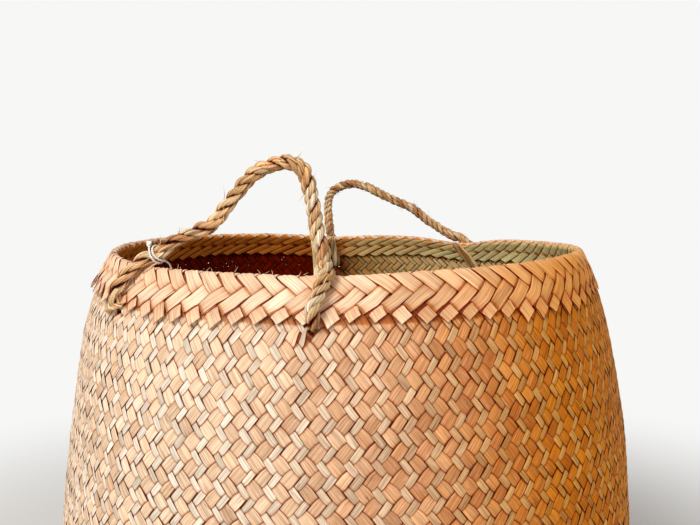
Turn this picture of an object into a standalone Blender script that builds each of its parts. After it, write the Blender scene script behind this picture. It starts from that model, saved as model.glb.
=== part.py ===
"""A belly basket: a soft round basket plaited from flat leaf strips, wide at the middle, with a folded
border and two twisted leaf-rope handles. Metres, +Z up, standing on z = 0 with the basket's axis on Z.
The front handle is on the -Y side, and azimuths run from -Y towards +X."""

import collections
import math

import bmesh
import bpy
from mathutils import Matrix, Vector

# Basket body
HEIGHT = 0.410
BELLY_HEIGHT = 0.140
BELLY_RADIUS = 0.258
RIM_RADIUS = 0.2085
BASE_RADIUS = 0.180
WALL_THICKNESS = 0.0026
SEAM_GAP = 0.0003
SEGMENTS = 56
MERIDIAN_STEP = 0.029
MERGE_DISTANCE = 0.00005
# The wall's outer face from the base's edge to the belly: shares of the belly's height, and of the way out
# from the base's radius to the belly's
LOWER_WALL_SHARES = (
    (0.000, 0.074),
    (0.009, 0.305),
    (0.059, 0.550),
    (0.162, 0.709),
    (0.353, 0.851),
    (0.647, 0.957),
)
# From the belly to the rim: shares of the height between them, and of the way in to the rim's radius
UPPER_WALL_SHARES = (
    (0.000, 0.000),
    (0.174, 0.037),
    (0.333, 0.120),
    (0.508, 0.214),
    (0.667, 0.339),
    (0.777, 0.474),
    (0.871, 0.641),
    (0.944, 0.807),
    (1.000, 1.000),
)

# Rim: it stands a little higher between the handles, and gives a little under each rope
RIM_CROWN = 0.0055
RIM_DIP = 0.0065
RIM_WAVE_REACH = 0.110
DIP_WIDTH = math.radians(11.0)

# Border: strips folded over the rim, a high band outside and a lower one inside
BORDER_THICKNESS = 0.0016
BORDER_OUTER_HEIGHT = 0.028
BORDER_INNER_HEIGHT = 0.022
BAND_GAP = 0.0005
BAND_FACE = BAND_GAP + BORDER_THICKNESS
FOLD_STEPS = 6
OUTER_STEPS = 3
INNER_STEPS = 2

# Ropes
ROPE_RADIUS = 0.00535
TAIL_RADIUS = 0.00325
ROPE_GAP = 0.0005
ROPE_STEP = 0.0056
TAIL_STEP = 0.0050
ROPE_SIDE = BAND_FACE + ROPE_GAP + ROPE_RADIUS

# Holes for the ropes, below the border
HOLE_CLEARANCE = 0.0006
HOLE_DEPTH = 0.0362
HOLE_SIDES = 16
CUTTER_REACH = 0.020

# Handle ends: the arch ends in a ball and a neck, and the leg in a narrow round tip
JOINT_BALL_RADIUS = 0.0043
JOINT_NECK_RADIUS = 0.0035
BALL_PLACE_SHARES = (-0.98, -0.80, -0.45, 0.0, 0.45)
LEG_TIP_RADIUS = 0.0030
TIP_PLACE_SHARES = (0.03, 0.25, 0.60, 1.00)
NECK_LENGTH = 0.0100

# Legs: over the rim on a round crest, down outside, and round into the hole
CREST_RADIUS = 0.0099
CREST_DEPTH = 0.0008
CREST_LEAD = math.radians(14.0)
CREST_SWEEP_SHARE = 0.30
CREST_PLACE_SHARES = (1.0, 0.5, 0.0)
LEG_DROP_SHARES = (0.12, 0.30, 0.50, 0.72, 0.90)
LEG_BEND_TURNS = (math.radians(12), math.radians(38), math.radians(64))
STUB_LENGTH = 0.0010

# Tails: from the hole round a bend and up the inner face
TAIL_LEAD = 0.0014
TAIL_BEND_RADIUS = 0.0050
TAIL_BEND_TURNS = (math.radians(30), math.radians(60), math.radians(90))
TAIL_RUN_SHARES = (0.35, 0.70, 1.00)
TAIL_RISE = 0.0120

# Handles: each stands on a chord of the rim. A spread is the angle from the handle's middle to the chord's end
HANDLE_STANDOFF = 0.0040
FRONT_SPREAD = math.radians(20.75)
FRONT_RISE = 0.0759
BACK_AZIMUTH = math.radians(185.5)
BACK_SPREAD = math.radians(22.5)
BACK_RISE = 0.0623
# The free arch of each handle from its first joint to its last: shares of the half chord along, and of the
# rise above the rim's own height
FRONT_ARCH_SHARES = (
    (-0.704, 0.224),
    (-0.565, 0.297),
    (-0.410, 0.355),
    (-0.197, 0.440),
    (-0.050, 0.590),
    (0.102, 0.754),
    (0.242, 0.888),
    (0.409, 0.967),
    (0.562, 1.000),
    (0.721, 0.963),
    (0.798, 0.851),
    (0.837, 0.696),
    (0.861, 0.600),
    (0.875, 0.500),
    (0.894, 0.393),
    (0.932, 0.264),
)
BACK_ARCH_SHARES = (
    (-0.642, 0.140),
    (-0.555, 0.215),
    (-0.453, 0.290),
    (-0.305, 0.440),
    (-0.187, 0.551),
    (0.052, 0.681),
    (0.278, 0.811),
    (0.491, 0.944),
    (0.645, 1.000),
    (0.815, 0.992),
    (0.956, 0.925),
    (1.066, 0.788),
    (1.098, 0.613),
    (1.096, 0.438),
    (1.084, 0.265),
)

# Tag string: knotted on the front left leg, wound round it, over the rim and down inside
STRING_RADIUS = 0.0008
STRING_GAP = 0.00045
STRING_COIL_RADIUS = ROPE_RADIUS + STRING_GAP + STRING_RADIUS
STRING_TIE_DISTANCE = 0.0170
STRING_TURN_PITCH = 0.0044
STRING_TURNS = 1.39
STRING_TURN_STEPS = 16
STRING_START_TURN = math.radians(70)
STRING_KNOT_LEAD = math.radians(45)
STRING_KNOT_RADIUS = 0.0026
STRING_END_KNOT_RADIUS = 0.0019
STRING_STEP = 0.0045
KNOT_SIDES = 12
KNOT_RINGS = 8
# Where it goes from the end of its turns, over the rim and down
STRING_ROUTE = (
    (0.0010, 0.0045, -0.0012),
    (0.0020, 0.0077, -0.0042),
    (0.0025, 0.0088, -0.0095),
    (0.0027, 0.0090, -0.0200),
    (0.0025, 0.0088, -0.0320),
    (0.0022, 0.0090, -0.0450),
    (0.0024, 0.0092, -0.0580),
    (0.0027, 0.0090, -0.0700),
    (0.0028, 0.0088, -0.0820),
    (0.0027, 0.0090, -0.0930),
)

# Colours
STRAW = (0.78, 0.55, 0.33, 1.0)
ROPE_STRAW = (0.66, 0.48, 0.30, 1.0)
PALE_STRAW = (0.72, 0.64, 0.46, 1.0)
COTTON = (0.88, 0.88, 0.86, 1.0)
LEAF_ROUGHNESS = 0.62
COTTON_ROUGHNESS = 0.85

Handle = collections.namedtuple("Handle", "azimuth spread rise arch_shares")
HANDLES = {
    "front": Handle(0.0, FRONT_SPREAD, FRONT_RISE, FRONT_ARCH_SHARES),
    "back": Handle(BACK_AZIMUTH, BACK_SPREAD, BACK_RISE, BACK_ARCH_SHARES),
}
# The feet, as seen from in front. Side -1 is the arch's first end and 1 its last. The angles lie outside the
# chord's end, and the two shares are of TAIL_RISE and RIM_DIP
Foot = collections.namedtuple("Foot", "handle side crossing hole tail_top tail_rise_share dip_share")
FEET = {
    "front_left": Foot("front", -1, math.radians(0.55), math.radians(4.55), math.radians(-2.15), -0.12, 0.15),
    "front_right": Foot("front", 1, math.radians(-0.15), math.radians(-2.35), math.radians(-2.85), 1.00, 0.20),
    "back_right": Foot("back", -1, math.radians(-2.10), math.radians(2.50), math.radians(-2.10), 0.25, 1.00),
    "back_left": Foot("back", 1, math.radians(1.30), math.radians(-0.60), math.radians(0.90), 0.55, 0.45),
}


def smooth_curve(points, step):
    """One smooth curve through the points, whatever their spacing, with about step between what it returns."""
    points = [Vector(p) for p in points]
    spans = [(b - a).length for a, b in zip(points, points[1:])]
    rates = [(b - a) / span for a, b, span in zip(points, points[1:], spans)]
    slopes = [rates[0]]
    for before, after, rate, following in zip(spans, spans[1:], rates, rates[1:]):
        slopes.append((rate * after + following * before) / (before + after))
    slopes.append(rates[-1])
    curve = []
    for a, b, out, into, span in zip(points, points[1:], slopes, slopes[1:], spans):
        count = max(1, round(span / step))
        for i in range(count):
            t = i / count
            curve.append(
                a * (2 * t**3 - 3 * t**2 + 1) + b * (3 * t**2 - 2 * t**3)
                + out * span * (t**3 - 2 * t**2 + t) + into * span * (t**3 - t**2)
            )
    curve.append(points[-1])
    return curve


def wall_outline():
    """The wall's outer face in the plane of the axis, as (radius, height), from base to rim."""
    places = [
        (BASE_RADIUS + (BELLY_RADIUS - BASE_RADIUS) * out, BELLY_HEIGHT * up)
        for up, out in LOWER_WALL_SHARES
    ]
    places += [
        (BELLY_RADIUS + (RIM_RADIUS - BELLY_RADIUS) * into, BELLY_HEIGHT + (HEIGHT - BELLY_HEIGHT) * up)
        for up, into in UPPER_WALL_SHARES
    ]
    return smooth_curve(places, MERIDIAN_STEP)


MERIDIAN = wall_outline()


def meridian_at(depth, offset):
    """(radius, height) at a depth down the wall from the rim, and an offset out of the wall's outer face."""
    left = depth
    for above, below in zip(MERIDIAN[::-1], MERIDIAN[-2::-1]):
        run = below - above
        if left <= run.length:
            break
        left -= run.length
    down = run.normalized()
    return above + down * left + Vector((-down.y, down.x)) * offset


def azimuth_of(foot, lean):
    """The azimuth of a place near a foot, by the angle it lies outside the chord's end."""
    handle = HANDLES[foot.handle]
    return handle.azimuth + foot.side * (handle.spread + lean)


def rim_wave(azimuth):
    """How far the rim stands above or below the basket's height at an azimuth."""
    height = RIM_CROWN * math.sin(azimuth) ** 2
    for foot in FEET.values():
        away = math.remainder(azimuth - azimuth_of(foot, foot.crossing), math.tau)
        height -= RIM_DIP * foot.dip_share * math.exp(-((away / DIP_WIDTH) ** 2))
    return height


def waved(point):
    """A point moved up or down with the rim, which fades out further down the wall."""
    reach = (point.z - (HEIGHT - RIM_WAVE_REACH)) / RIM_WAVE_REACH
    fade = min(max(reach, 0.0), 1.0) ** 2
    return point + Vector((0, 0, fade * rim_wave(math.atan2(point.x, -point.y))))


def on_wall(azimuth, depth, offset):
    """The point of the basket at an azimuth, a depth below the rim and an offset out of the wall."""
    radius, height = meridian_at(depth, offset)
    return waved(Vector((radius * math.sin(azimuth), -radius * math.cos(azimuth), height)))


def material(name, colour, roughness):
    made = bpy.data.materials.get(name) or bpy.data.materials.new(name)
    made.use_nodes = True
    shader = made.node_tree.nodes["Principled BSDF"]
    shader.inputs["Base Color"].default_value = colour
    shader.inputs["Roughness"].default_value = roughness
    return made


def add(name, data, colour, roughness=LEAF_ROUGHNESS, collection="Belly basket"):
    """An object in its collection, with its own material."""
    obj = bpy.data.objects.new(name, data)
    if collection not in bpy.data.collections:
        bpy.context.scene.collection.children.link(bpy.data.collections.new(collection))
    bpy.data.collections[collection].objects.link(obj)
    data.materials.append(material(name, colour, roughness))
    return obj


def turned(name, profile, colour, closed):
    """A profile of (radius, height) turned round Z with a Screw, made a mesh and bent to the rim's wave."""
    mesh = bpy.data.meshes.new(name + "_profile")
    edges = [(i, i + 1) for i in range(len(profile) - 1)]
    if closed:
        edges.append((len(profile) - 1, 0))
    mesh.from_pydata([(radius, 0, height) for radius, height in profile], edges, [])
    turning = bpy.data.objects.new(name + "_profile", mesh)
    bpy.context.scene.collection.objects.link(turning)
    screw = turning.modifiers.new("Turn", "SCREW")
    screw.steps = SEGMENTS
    screw.render_steps = SEGMENTS
    screw.use_merge_vertices = True
    screw.merge_threshold = MERGE_DISTANCE
    bpy.context.view_layer.update()
    graph = bpy.context.evaluated_depsgraph_get()
    shape = bpy.data.meshes.new_from_object(turning.evaluated_get(graph))
    bpy.data.objects.remove(turning)
    for vertex in shape.vertices:
        vertex.co = waved(vertex.co)
    whole = bmesh.new()
    whole.from_mesh(shape)
    bmesh.ops.recalc_face_normals(whole, faces=whole.faces)
    whole.to_mesh(shape)
    whole.free()
    shape.name = name
    shape.shade_smooth()
    return add(name, shape, colour)


def cylinder(name, radius, depth, sides, placed):
    """A closed cylinder's mesh, placed by a matrix."""
    made = bmesh.new()
    bmesh.ops.create_cone(
        made, cap_ends=True, segments=sides, radius1=radius, radius2=radius, depth=depth, matrix=placed
    )
    mesh = bpy.data.meshes.new(name)
    made.to_mesh(mesh)
    made.free()
    return mesh


def tube(name, points, radii, resolution, colour, roughness=LEAF_ROUGHNESS, origin=(0, 0, 0)):
    """A round tube along the points, with a radius at each and the object's origin where asked."""
    data = bpy.data.curves.new(name, "CURVE")
    data.dimensions = "3D"
    data.bevel_depth = 1.0
    data.bevel_resolution = resolution
    data.use_fill_caps = True
    spline = data.splines.new("POLY")
    spline.points.add(len(points) - 1)
    for point, place, radius in zip(spline.points, points, radii):
        point.co = (*(place - Vector(origin)), 1)
        point.radius = radius
    made = add(name, data, colour, roughness)
    made.location = origin
    return made


def base_mat():
    """The flat bottom, inside the wall's own flat edge."""
    placed = Matrix.Translation((0, 0, WALL_THICKNESS / 2))
    return add("base_mat", cylinder("base_mat", BASE_RADIUS, WALL_THICKNESS, SEGMENTS, placed), STRAW)


def hole_of(foot):
    """The middle of a rope's hole in the wall, and the way out of the basket there."""
    azimuth = azimuth_of(foot, foot.hole)
    centre = on_wall(azimuth, HOLE_DEPTH, -WALL_THICKNESS / 2)
    outward = on_wall(azimuth, HOLE_DEPTH, ROPE_RADIUS) - on_wall(azimuth, HOLE_DEPTH, -ROPE_RADIUS)
    return centre, outward.normalized()


def basket_wall():
    """The bellied wall: the turned outer face, made solid inwards, with a hole for each rope."""
    edge = Vector((BASE_RADIUS + SEAM_GAP, 0.0))
    wall = turned("basket_wall", [edge, *MERIDIAN][::-1], STRAW, closed=False)
    shell = wall.modifiers.new("Thickness", "SOLIDIFY")
    shell.thickness = WALL_THICKNESS
    shell.offset = -1
    shell.use_even_offset = True
    for name, foot in FEET.items():
        centre, outward = hole_of(foot)
        placed = Matrix.Translation(centre) @ outward.to_track_quat("Z", "Y").to_matrix().to_4x4()
        radius = ROPE_RADIUS + HOLE_CLEARANCE
        mesh = cylinder(name + "_hole", radius, CUTTER_REACH, HOLE_SIDES, placed)
        cutter = add(name + "_hole", mesh, STRAW, collection="Cutters")
        cutter.hide_render = True
        cutter.display_type = "WIRE"
        cut = wall.modifiers.new(name + "_hole", "BOOLEAN")
        cut.object = cutter
    return wall


def rim_border():
    """The folded border: one ring round the wall's top edge, high outside and low inside."""
    outer = BAND_GAP
    inner = -WALL_THICKNESS - BAND_GAP
    middle = (outer + inner) / 2
    half = (outer - inner) / 2 + BORDER_THICKNESS
    outside = [BORDER_OUTER_HEIGHT * i / OUTER_STEPS for i in range(OUTER_STEPS, 0, -1)]
    inside = [BORDER_INNER_HEIGHT * i / INNER_STEPS for i in range(1, INNER_STEPS + 1)]
    section = [(depth, outer + BORDER_THICKNESS) for depth in outside]
    for i in range(FOLD_STEPS + 1):
        turn = math.pi * i / FOLD_STEPS
        section.append((-BAND_GAP - BORDER_THICKNESS * math.sin(turn), middle + half * math.cos(turn)))
    section += [(depth, inner - BORDER_THICKNESS) for depth in inside]
    section += [(depth, inner) for depth in inside[::-1]]
    section += [(-BAND_GAP, inner), (-BAND_GAP, outer)]
    section += [(depth, outer) for depth in outside[::-1]]
    return turned("rim_border", [meridian_at(*place) for place in section], STRAW, closed=True)


def arch_curve(handle):
    """The middle line of a handle's free arch, from its first joint to its last."""
    reach = RIM_RADIUS + HANDLE_STANDOFF
    half_chord = reach * math.sin(handle.spread)
    chord_offset = reach * math.cos(handle.spread)
    turn = Matrix.Rotation(handle.azimuth, 3, "Z")
    places = [
        turn @ Vector((along * half_chord, -chord_offset, HEIGHT + up * handle.rise))
        for along, up in handle.arch_shares
    ]
    return smooth_curve(places, ROPE_STEP)


def joint_of(foot):
    """Where a foot's leg meets its arch."""
    return arch_curve(HANDLES[foot.handle])[0 if foot.side < 0 else -1]


def arch_radius(distance):
    """The arch's radius at a distance from its joint: a ball, then a neck, then the rope."""
    ball = math.sqrt(max(JOINT_BALL_RADIUS**2 - distance**2, 0.0))
    if distance <= 0:
        return ball
    grown = min(distance / NECK_LENGTH, 1.0)
    return max(ball, JOINT_NECK_RADIUS + (ROPE_RADIUS - JOINT_NECK_RADIUS) * grown)


def handle_arch(name, handle):
    """The free part of a handle, which swings on the line through its two ends."""
    curve = arch_curve(handle)
    ends = []
    for end, beside in ((curve[0], curve[1]), (curve[-1], curve[-2])):
        inwards = (beside - end).normalized()
        distances = [share * JOINT_BALL_RADIUS for share in BALL_PLACE_SHARES]
        ends.append([(end + inwards * distance, arch_radius(distance)) for distance in distances])
    rope = []
    for place in curve[1:-1]:
        near = min((place - curve[0]).length, (place - curve[-1]).length)
        rope.append((place, arch_radius(near)))
    points, radii = zip(*ends[0], *rope, *ends[1][::-1])
    return tube(name, points, radii, 2, ROPE_STRAW, origin=curve[0])


def crest_of(foot):
    """Where a leg comes over the rim: (azimuth, depth, offset) along a round crest, from the joint's side."""
    joint = joint_of(foot)
    crossing = azimuth_of(foot, foot.crossing)
    top = on_wall(crossing, 0.0, 0.0)
    outward = (on_wall(crossing, 0.0, ROPE_SIDE) - top).normalized()
    upward = (on_wall(crossing, -ROPE_SIDE, 0.0) - top).normalized()
    away = joint - top
    middle = ROPE_SIDE - CREST_RADIUS
    turn = math.atan2(away.dot(upward) + CREST_DEPTH, away.dot(outward) - middle)
    start = max(turn - CREST_LEAD, CREST_LEAD)
    towards = math.remainder(math.atan2(joint.x, -joint.y) - crossing, math.tau)
    return [
        (
            crossing + towards * CREST_SWEEP_SHARE * share,
            CREST_DEPTH - CREST_RADIUS * math.sin(start * share),
            middle + CREST_RADIUS * math.cos(start * share),
        )
        for share in CREST_PLACE_SHARES
    ]


def leg_curve(foot):
    """The middle line of a leg: from the joint over the rim, down the border's outside, and into the hole."""
    crossing = azimuth_of(foot, foot.crossing)
    sweep = azimuth_of(foot, foot.hole) - crossing
    bend_start = HOLE_DEPTH - ROPE_SIDE
    places = crest_of(foot)
    for share in LEG_DROP_SHARES:
        places.append((crossing + sweep * share, bend_start * share, ROPE_SIDE))
    for turn in LEG_BEND_TURNS:
        lean_share = 1 - (1 - LEG_DROP_SHARES[-1]) * (1 - math.sin(turn))
        depth = bend_start + ROPE_SIDE * math.sin(turn)
        places.append((crossing + sweep * lean_share, depth, ROPE_SIDE * math.cos(turn)))
    centre, outward = hole_of(foot)
    points = [joint_of(foot)]
    points += [on_wall(*place) for place in places]
    points.append(centre + outward * WALL_THICKNESS / 2)
    points.append(centre - outward * (WALL_THICKNESS / 2 + STUB_LENGTH))
    return smooth_curve(points, ROPE_STEP)


def rope_leg(name, foot):
    """A fixed end of a rope, from the joint into the hole."""
    curve = leg_curve(foot)
    joint = curve[0]
    tip = JOINT_BALL_RADIUS + SEAM_GAP
    kept = [place for place in curve if (place - joint).length > tip + LEG_TIP_RADIUS]
    inwards = (kept[0] - joint).normalized()
    points = []
    radii = []
    for share in TIP_PLACE_SHARES:
        points.append(joint + inwards * (tip + LEG_TIP_RADIUS * share))
        radii.append(LEG_TIP_RADIUS * math.sqrt(1 - (1 - share) ** 2))
    for place in kept:
        grown = min(((place - joint).length - tip) / NECK_LENGTH, 1.0)
        points.append(place)
        radii.append(LEG_TIP_RADIUS + (ROPE_RADIUS - LEG_TIP_RADIUS) * grown)
    return tube(name + "_rope_leg", points, radii, 2, ROPE_STRAW)


def rope_tail(name, foot):
    """The rope's loosened end: from inside the hole, up the inner face to just under the rope."""
    start = WALL_THICKNESS + STUB_LENGTH + SEAM_GAP
    bend = start + TAIL_LEAD
    away = bend + TAIL_BEND_RADIUS
    hole = azimuth_of(foot, foot.hole)
    sweep = azimuth_of(foot, foot.tail_top) - hole
    places = []
    for turn in TAIL_BEND_TURNS:
        depth = HOLE_DEPTH - TAIL_BEND_RADIUS * (1 - math.cos(turn))
        places.append((hole, depth, -bend - TAIL_BEND_RADIUS * math.sin(turn)))
    run_start = HOLE_DEPTH - TAIL_BEND_RADIUS
    rise = run_start + TAIL_RISE * foot.tail_rise_share
    for share in TAIL_RUN_SHARES:
        places.append((hole + sweep * share, run_start - rise * share, -away))
    centre, outward = hole_of(foot)
    lead = [centre - outward * (length - WALL_THICKNESS / 2) for length in (start, bend)]
    curve = lead[:1] + smooth_curve(lead[1:] + [on_wall(*place) for place in places], TAIL_STEP)
    return tube(name + "_rope_tail", curve, [TAIL_RADIUS] * len(curve), 2, PALE_STRAW)


def place_along(curve, distance):
    """The place at a distance along a curve from its start, and the curve's direction there."""
    left = distance
    for a, b in zip(curve, curve[1:]):
        run = b - a
        if left <= run.length:
            break
        left -= run.length
    return a + run.normalized() * left, run.normalized()


def string_turn(leg, angle):
    """A place on the string's turns round a leg, by the angle turned since the knot."""
    distance = STRING_TIE_DISTANCE - STRING_TURN_PITCH * angle / math.tau
    middle, _ = place_along(leg, distance)
    before, _ = place_along(leg, distance - ROPE_RADIUS)
    after, _ = place_along(leg, distance + ROPE_RADIUS)
    along = (after - before).normalized()
    front = Vector((0, -1, 0))
    front = (front - along * front.dot(along)).normalized()
    up = along.cross(front)
    lift = ROPE_RADIUS + SEAM_GAP + STRING_KNOT_RADIUS - STRING_COIL_RADIUS
    radius = STRING_COIL_RADIUS + lift * max(1 - angle / STRING_KNOT_LEAD, 0.0) ** 2
    turn = STRING_START_TURN - angle
    return middle + (front * math.cos(turn) + up * math.sin(turn)) * radius


def string_curve():
    """The string's middle line, from its knot to its end."""
    leg = leg_curve(FEET["front_left"])
    steps = round(STRING_TURNS * STRING_TURN_STEPS)
    turns = [string_turn(leg, math.tau * i / STRING_TURN_STEPS) for i in range(steps + 1)]
    route = [turns[-1] + Vector(place) for place in STRING_ROUTE]
    return turns[:-2] + smooth_curve(turns[-2:] + route, STRING_STEP)


def knot(name, end, beside, radius):
    """A round knot just past one end of the string."""
    ball = bmesh.new()
    bmesh.ops.create_uvsphere(ball, u_segments=KNOT_SIDES, v_segments=KNOT_RINGS, radius=radius)
    mesh = bpy.data.meshes.new(name)
    ball.to_mesh(mesh)
    ball.free()
    mesh.shade_smooth()
    made = add(name, mesh, COTTON, COTTON_ROUGHNESS)
    made.location = end + (end - beside).normalized() * (radius + SEAM_GAP)
    return made


def tag_string():
    """The thin cotton string with its two knots."""
    curve = string_curve()
    radii = [STRING_RADIUS] * len(curve)
    tube("tag_string", curve, radii, 1, COTTON, COTTON_ROUGHNESS)
    knot("tag_string_knot", curve[0], curve[1], STRING_KNOT_RADIUS)
    knot("tag_string_end_knot", curve[-1], curve[-2], STRING_END_KNOT_RADIUS)
    length = sum((b - a).length for a, b in zip(curve, curve[1:]))
    print("string", round(length, 4), "m long, from", [round(v, 5) for v in curve[0]])


for old in list(bpy.data.objects):
    bpy.data.objects.remove(old)

base_mat()
basket_wall()
rim_border()
for side, handle in HANDLES.items():
    handle_arch(side + "_handle_rope", handle)
for name, foot in FEET.items():
    rope_leg(name, foot)
    rope_tail(name, foot)
    print(name, "joint at", [round(v, 5) for v in joint_of(foot)])
tag_string()
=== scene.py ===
"""The belly basket's looks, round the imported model: every strip of the plaited wall and border, the ropes'
plies and loose ends, and the cotton string. Metres, +Z up, azimuths from -Y towards +X. A depth is measured
down the wall from the rim, and an offset out of the wall's outer face."""

import collections
import math

import bpy
import numpy as np
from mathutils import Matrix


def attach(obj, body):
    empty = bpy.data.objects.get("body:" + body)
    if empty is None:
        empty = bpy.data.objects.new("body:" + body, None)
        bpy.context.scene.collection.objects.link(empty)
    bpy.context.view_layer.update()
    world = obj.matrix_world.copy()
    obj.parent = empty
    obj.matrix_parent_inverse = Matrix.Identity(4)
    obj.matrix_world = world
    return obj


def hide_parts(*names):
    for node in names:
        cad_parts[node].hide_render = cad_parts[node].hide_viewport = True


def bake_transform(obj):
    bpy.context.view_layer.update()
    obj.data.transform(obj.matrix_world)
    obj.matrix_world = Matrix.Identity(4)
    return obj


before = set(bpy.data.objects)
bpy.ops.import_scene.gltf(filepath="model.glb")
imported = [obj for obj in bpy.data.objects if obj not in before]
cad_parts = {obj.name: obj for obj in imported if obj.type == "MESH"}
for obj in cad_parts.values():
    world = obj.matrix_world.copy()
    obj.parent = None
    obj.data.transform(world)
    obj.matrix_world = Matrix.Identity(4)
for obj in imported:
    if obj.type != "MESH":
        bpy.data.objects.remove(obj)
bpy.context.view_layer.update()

MM = 0.001
FULL_TURN = 2 * math.pi

# The wall, as the model has it
HEIGHT = 410 * MM
BELLY_HEIGHT = 140 * MM
BELLY_RADIUS = 258 * MM
RIM_RADIUS = 208.5 * MM
BASE_RADIUS = 180 * MM
WALL_THICKNESS = 2.6 * MM
MERIDIAN_STEP = 2 * MM
LOWER_WALL_SHARES = (
    (0.000, 0.074), (0.009, 0.305), (0.059, 0.550), (0.162, 0.709), (0.353, 0.851), (0.647, 0.957),
)
UPPER_WALL_SHARES = (
    (0.000, 0.000), (0.174, 0.037), (0.333, 0.120), (0.508, 0.214), (0.667, 0.339), (0.777, 0.474),
    (0.871, 0.641), (0.944, 0.807), (1.000, 1.000),
)

# The rim's wave, as the model has it
RIM_CROWN = 5.5 * MM
RIM_DIP = 6.5 * MM
RIM_WAVE_REACH = 110 * MM
DIP_WIDTH = math.radians(11.0)

# The ropes' places, as the model has them
BAND_FACE = 2.1 * MM
ROPE_RADIUS = 5.35 * MM
ROPE_SIDE = BAND_FACE + 0.5 * MM + ROPE_RADIUS
HOLE_DEPTH = 36.2 * MM
HOLE_MIDDLE = 37.4 * MM
ROPE_END_DEPTH = 33.4 * MM
STUB_LENGTH = 1.0 * MM
CREST_RADIUS = 9.9 * MM
CREST_DEPTH = 0.8 * MM
CREST_LEAD = math.radians(14.0)
CREST_SWEEP_SHARE = 0.30
CREST_PLACE_SHARES = (1.0, 0.5, 0.0)
LEG_DROP_SHARES = (0.12, 0.30, 0.50, 0.72, 0.90)
LEG_BEND_TURNS = (math.radians(12), math.radians(38), math.radians(64))
HANDLE_STANDOFF = 4.0 * MM
FRONT_ARCH_SHARES = (
    (-0.704, 0.224), (-0.565, 0.297), (-0.410, 0.355), (-0.197, 0.440), (-0.050, 0.590), (0.102, 0.754),
    (0.242, 0.888), (0.409, 0.967), (0.562, 1.000), (0.721, 0.963), (0.798, 0.851), (0.837, 0.696),
    (0.861, 0.600), (0.875, 0.500), (0.894, 0.393), (0.932, 0.264),
)
BACK_ARCH_SHARES = (
    (-0.642, 0.140), (-0.555, 0.215), (-0.453, 0.290), (-0.305, 0.440), (-0.187, 0.551), (0.052, 0.681),
    (0.278, 0.811), (0.491, 0.944), (0.645, 1.000), (0.815, 0.992), (0.956, 0.925), (1.066, 0.788),
    (1.098, 0.613), (1.096, 0.438), (1.084, 0.265),
)
Handle = collections.namedtuple("Handle", "azimuth spread rise arch")
HANDLES = {
    "front": Handle(0.0, math.radians(20.75), 75.9 * MM, FRONT_ARCH_SHARES),
    "back": Handle(math.radians(185.5), math.radians(22.5), 62.3 * MM, BACK_ARCH_SHARES),
}
# Each rope's foot: its handle's name and side, the degrees of its places outside the end of the handle's
# chord, its share of the rim's dip, and how far the wall's strips part for it
Foot = collections.namedtuple("Foot", "handle side crossing hole tail_top dip_share parted")
FEET = {
    "front_left": Foot("front", -1, 0.55, 4.55, -2.15, 0.15, 3.3 * MM),
    "front_right": Foot("front", 1, -0.15, -2.35, -2.85, 0.20, 3.3 * MM),
    "back_right": Foot("back", -1, -2.10, 2.50, -2.10, 1.00, 1.6 * MM),
    "back_left": Foot("back", 1, 1.30, -0.60, 0.90, 0.45, 1.0 * MM),
}

# The wall's plait: pairs of a tan and a grey strip each way, in a two-over two-under twill
PAIR_COUNT = 88
WALL_QUARTERS = 4
PAIR_WIDTH = 12.4 * MM
STEEPEST_SINE = 0.966
STRIP_THICKNESS = 0.5 * MM
STRIP_CROWN = 0.30 * MM
STRIP_LIFT = 0.66 * MM
STRIP_MIDDLE = -1.3 * MM
TAN_WIDTH = 7.8 * MM
GREY_WIDTH = 4.35 * MM
STRIP_TOP_DEPTH = 5 * MM
# How far the wall's strips run on under the base, in periods
UNDER_BASE = 0.28
# How unlike each other the strips are: in width, aside, in lift and in tilt
WIDTH_SPREAD = 0.06
WIDTH_LIMITS = (-0.12, 0.09)
WIDTH_WAVE = 0.07
WIDTH_KNOTS = 34
STRIP_DRIFT = 0.34 * MM
DRIFT_KNOTS = 30
LIFT_SPREAD = 0.08 * MM
TILT_SPREAD = 0.05
# The wall is painted dark, as shade, where the border covers it: down to where, over what fade and how bright
# above
UNDER_TEETH = 32 * MM
UNDER_TEETH_FADE = 3 * MM
UNDER_TEETH_TONE = 0.30
# Inside, the wall is painted dark as the border's shadow in the same way
UNDER_BAND = 24.5 * MM
UNDER_BAND_FADE = 2 * MM
UNDER_BAND_TONE = 0.2
GAP_LEAN = 0.032
# Where the plait starts: how far its rows and its pairs stand from the rim and from the front
ROW_PHASE = 0.46
TURN_PHASE = -0.10
FALLING_MIDDLE = 0.125
RISING_MIDDLE = 0.625
# How far the plait swings aside in each row, in pairs, which stands its upper stretches steeper
SWING = 0.045
# A quarter of a strip's period, from the middle of its upper stretch: (share of it, share of the lift)
TWILL_SHARES = ((0.00, 1.00), (0.07, 0.97), (0.14, 0.87), (0.195, 0.69), (0.232, 0.38))

# How the soft wall gives in and out: how deep, how often round it, its turn for each metre down, its start
DENTS = ((1.0 * MM, 3, 9, 0.6), (0.7 * MM, 7, -31, 2.0), (0.5 * MM, 13, 47, 4.1))
DENTS_START = 30 * MM
DENTS_FADE = 60 * MM
DENTS_END_FADE = 90 * MM

# How the strips part round each rope's hole: how fast it fades across and along them, and where gaps lie
PARTED_ACROSS = 7.5 * MM
PARTED_ALONG = 9 * MM
GAP_LINE_SHARE = 0.182

# The golden side is partly the leaf's ageing, partly painted shade away from the key lamp: the turn from
# which it lies a quarter turn on
PALE_SIDE_TURN = math.radians(30.0)
# How far the rim's crest is kept pale as a painted highlight, away from the front, and how fast that fades
# down from it
CREST_HIGHLIGHT = 0.95
CREST_FADE = 3.5 * MM
# Inside, the painted shade and light of both sides even out to one brown further down: from where, over what
# drop and to what share
EVEN_START = 55 * MM
EVEN_DROP = 130 * MM
EVEN_SIDE_SHARE = 0.565
# Strips that would lie lower than this are pressed flat on the floor
PRESSED_HEIGHT = 1.5 * MM

rng = np.random.default_rng(24)


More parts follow.
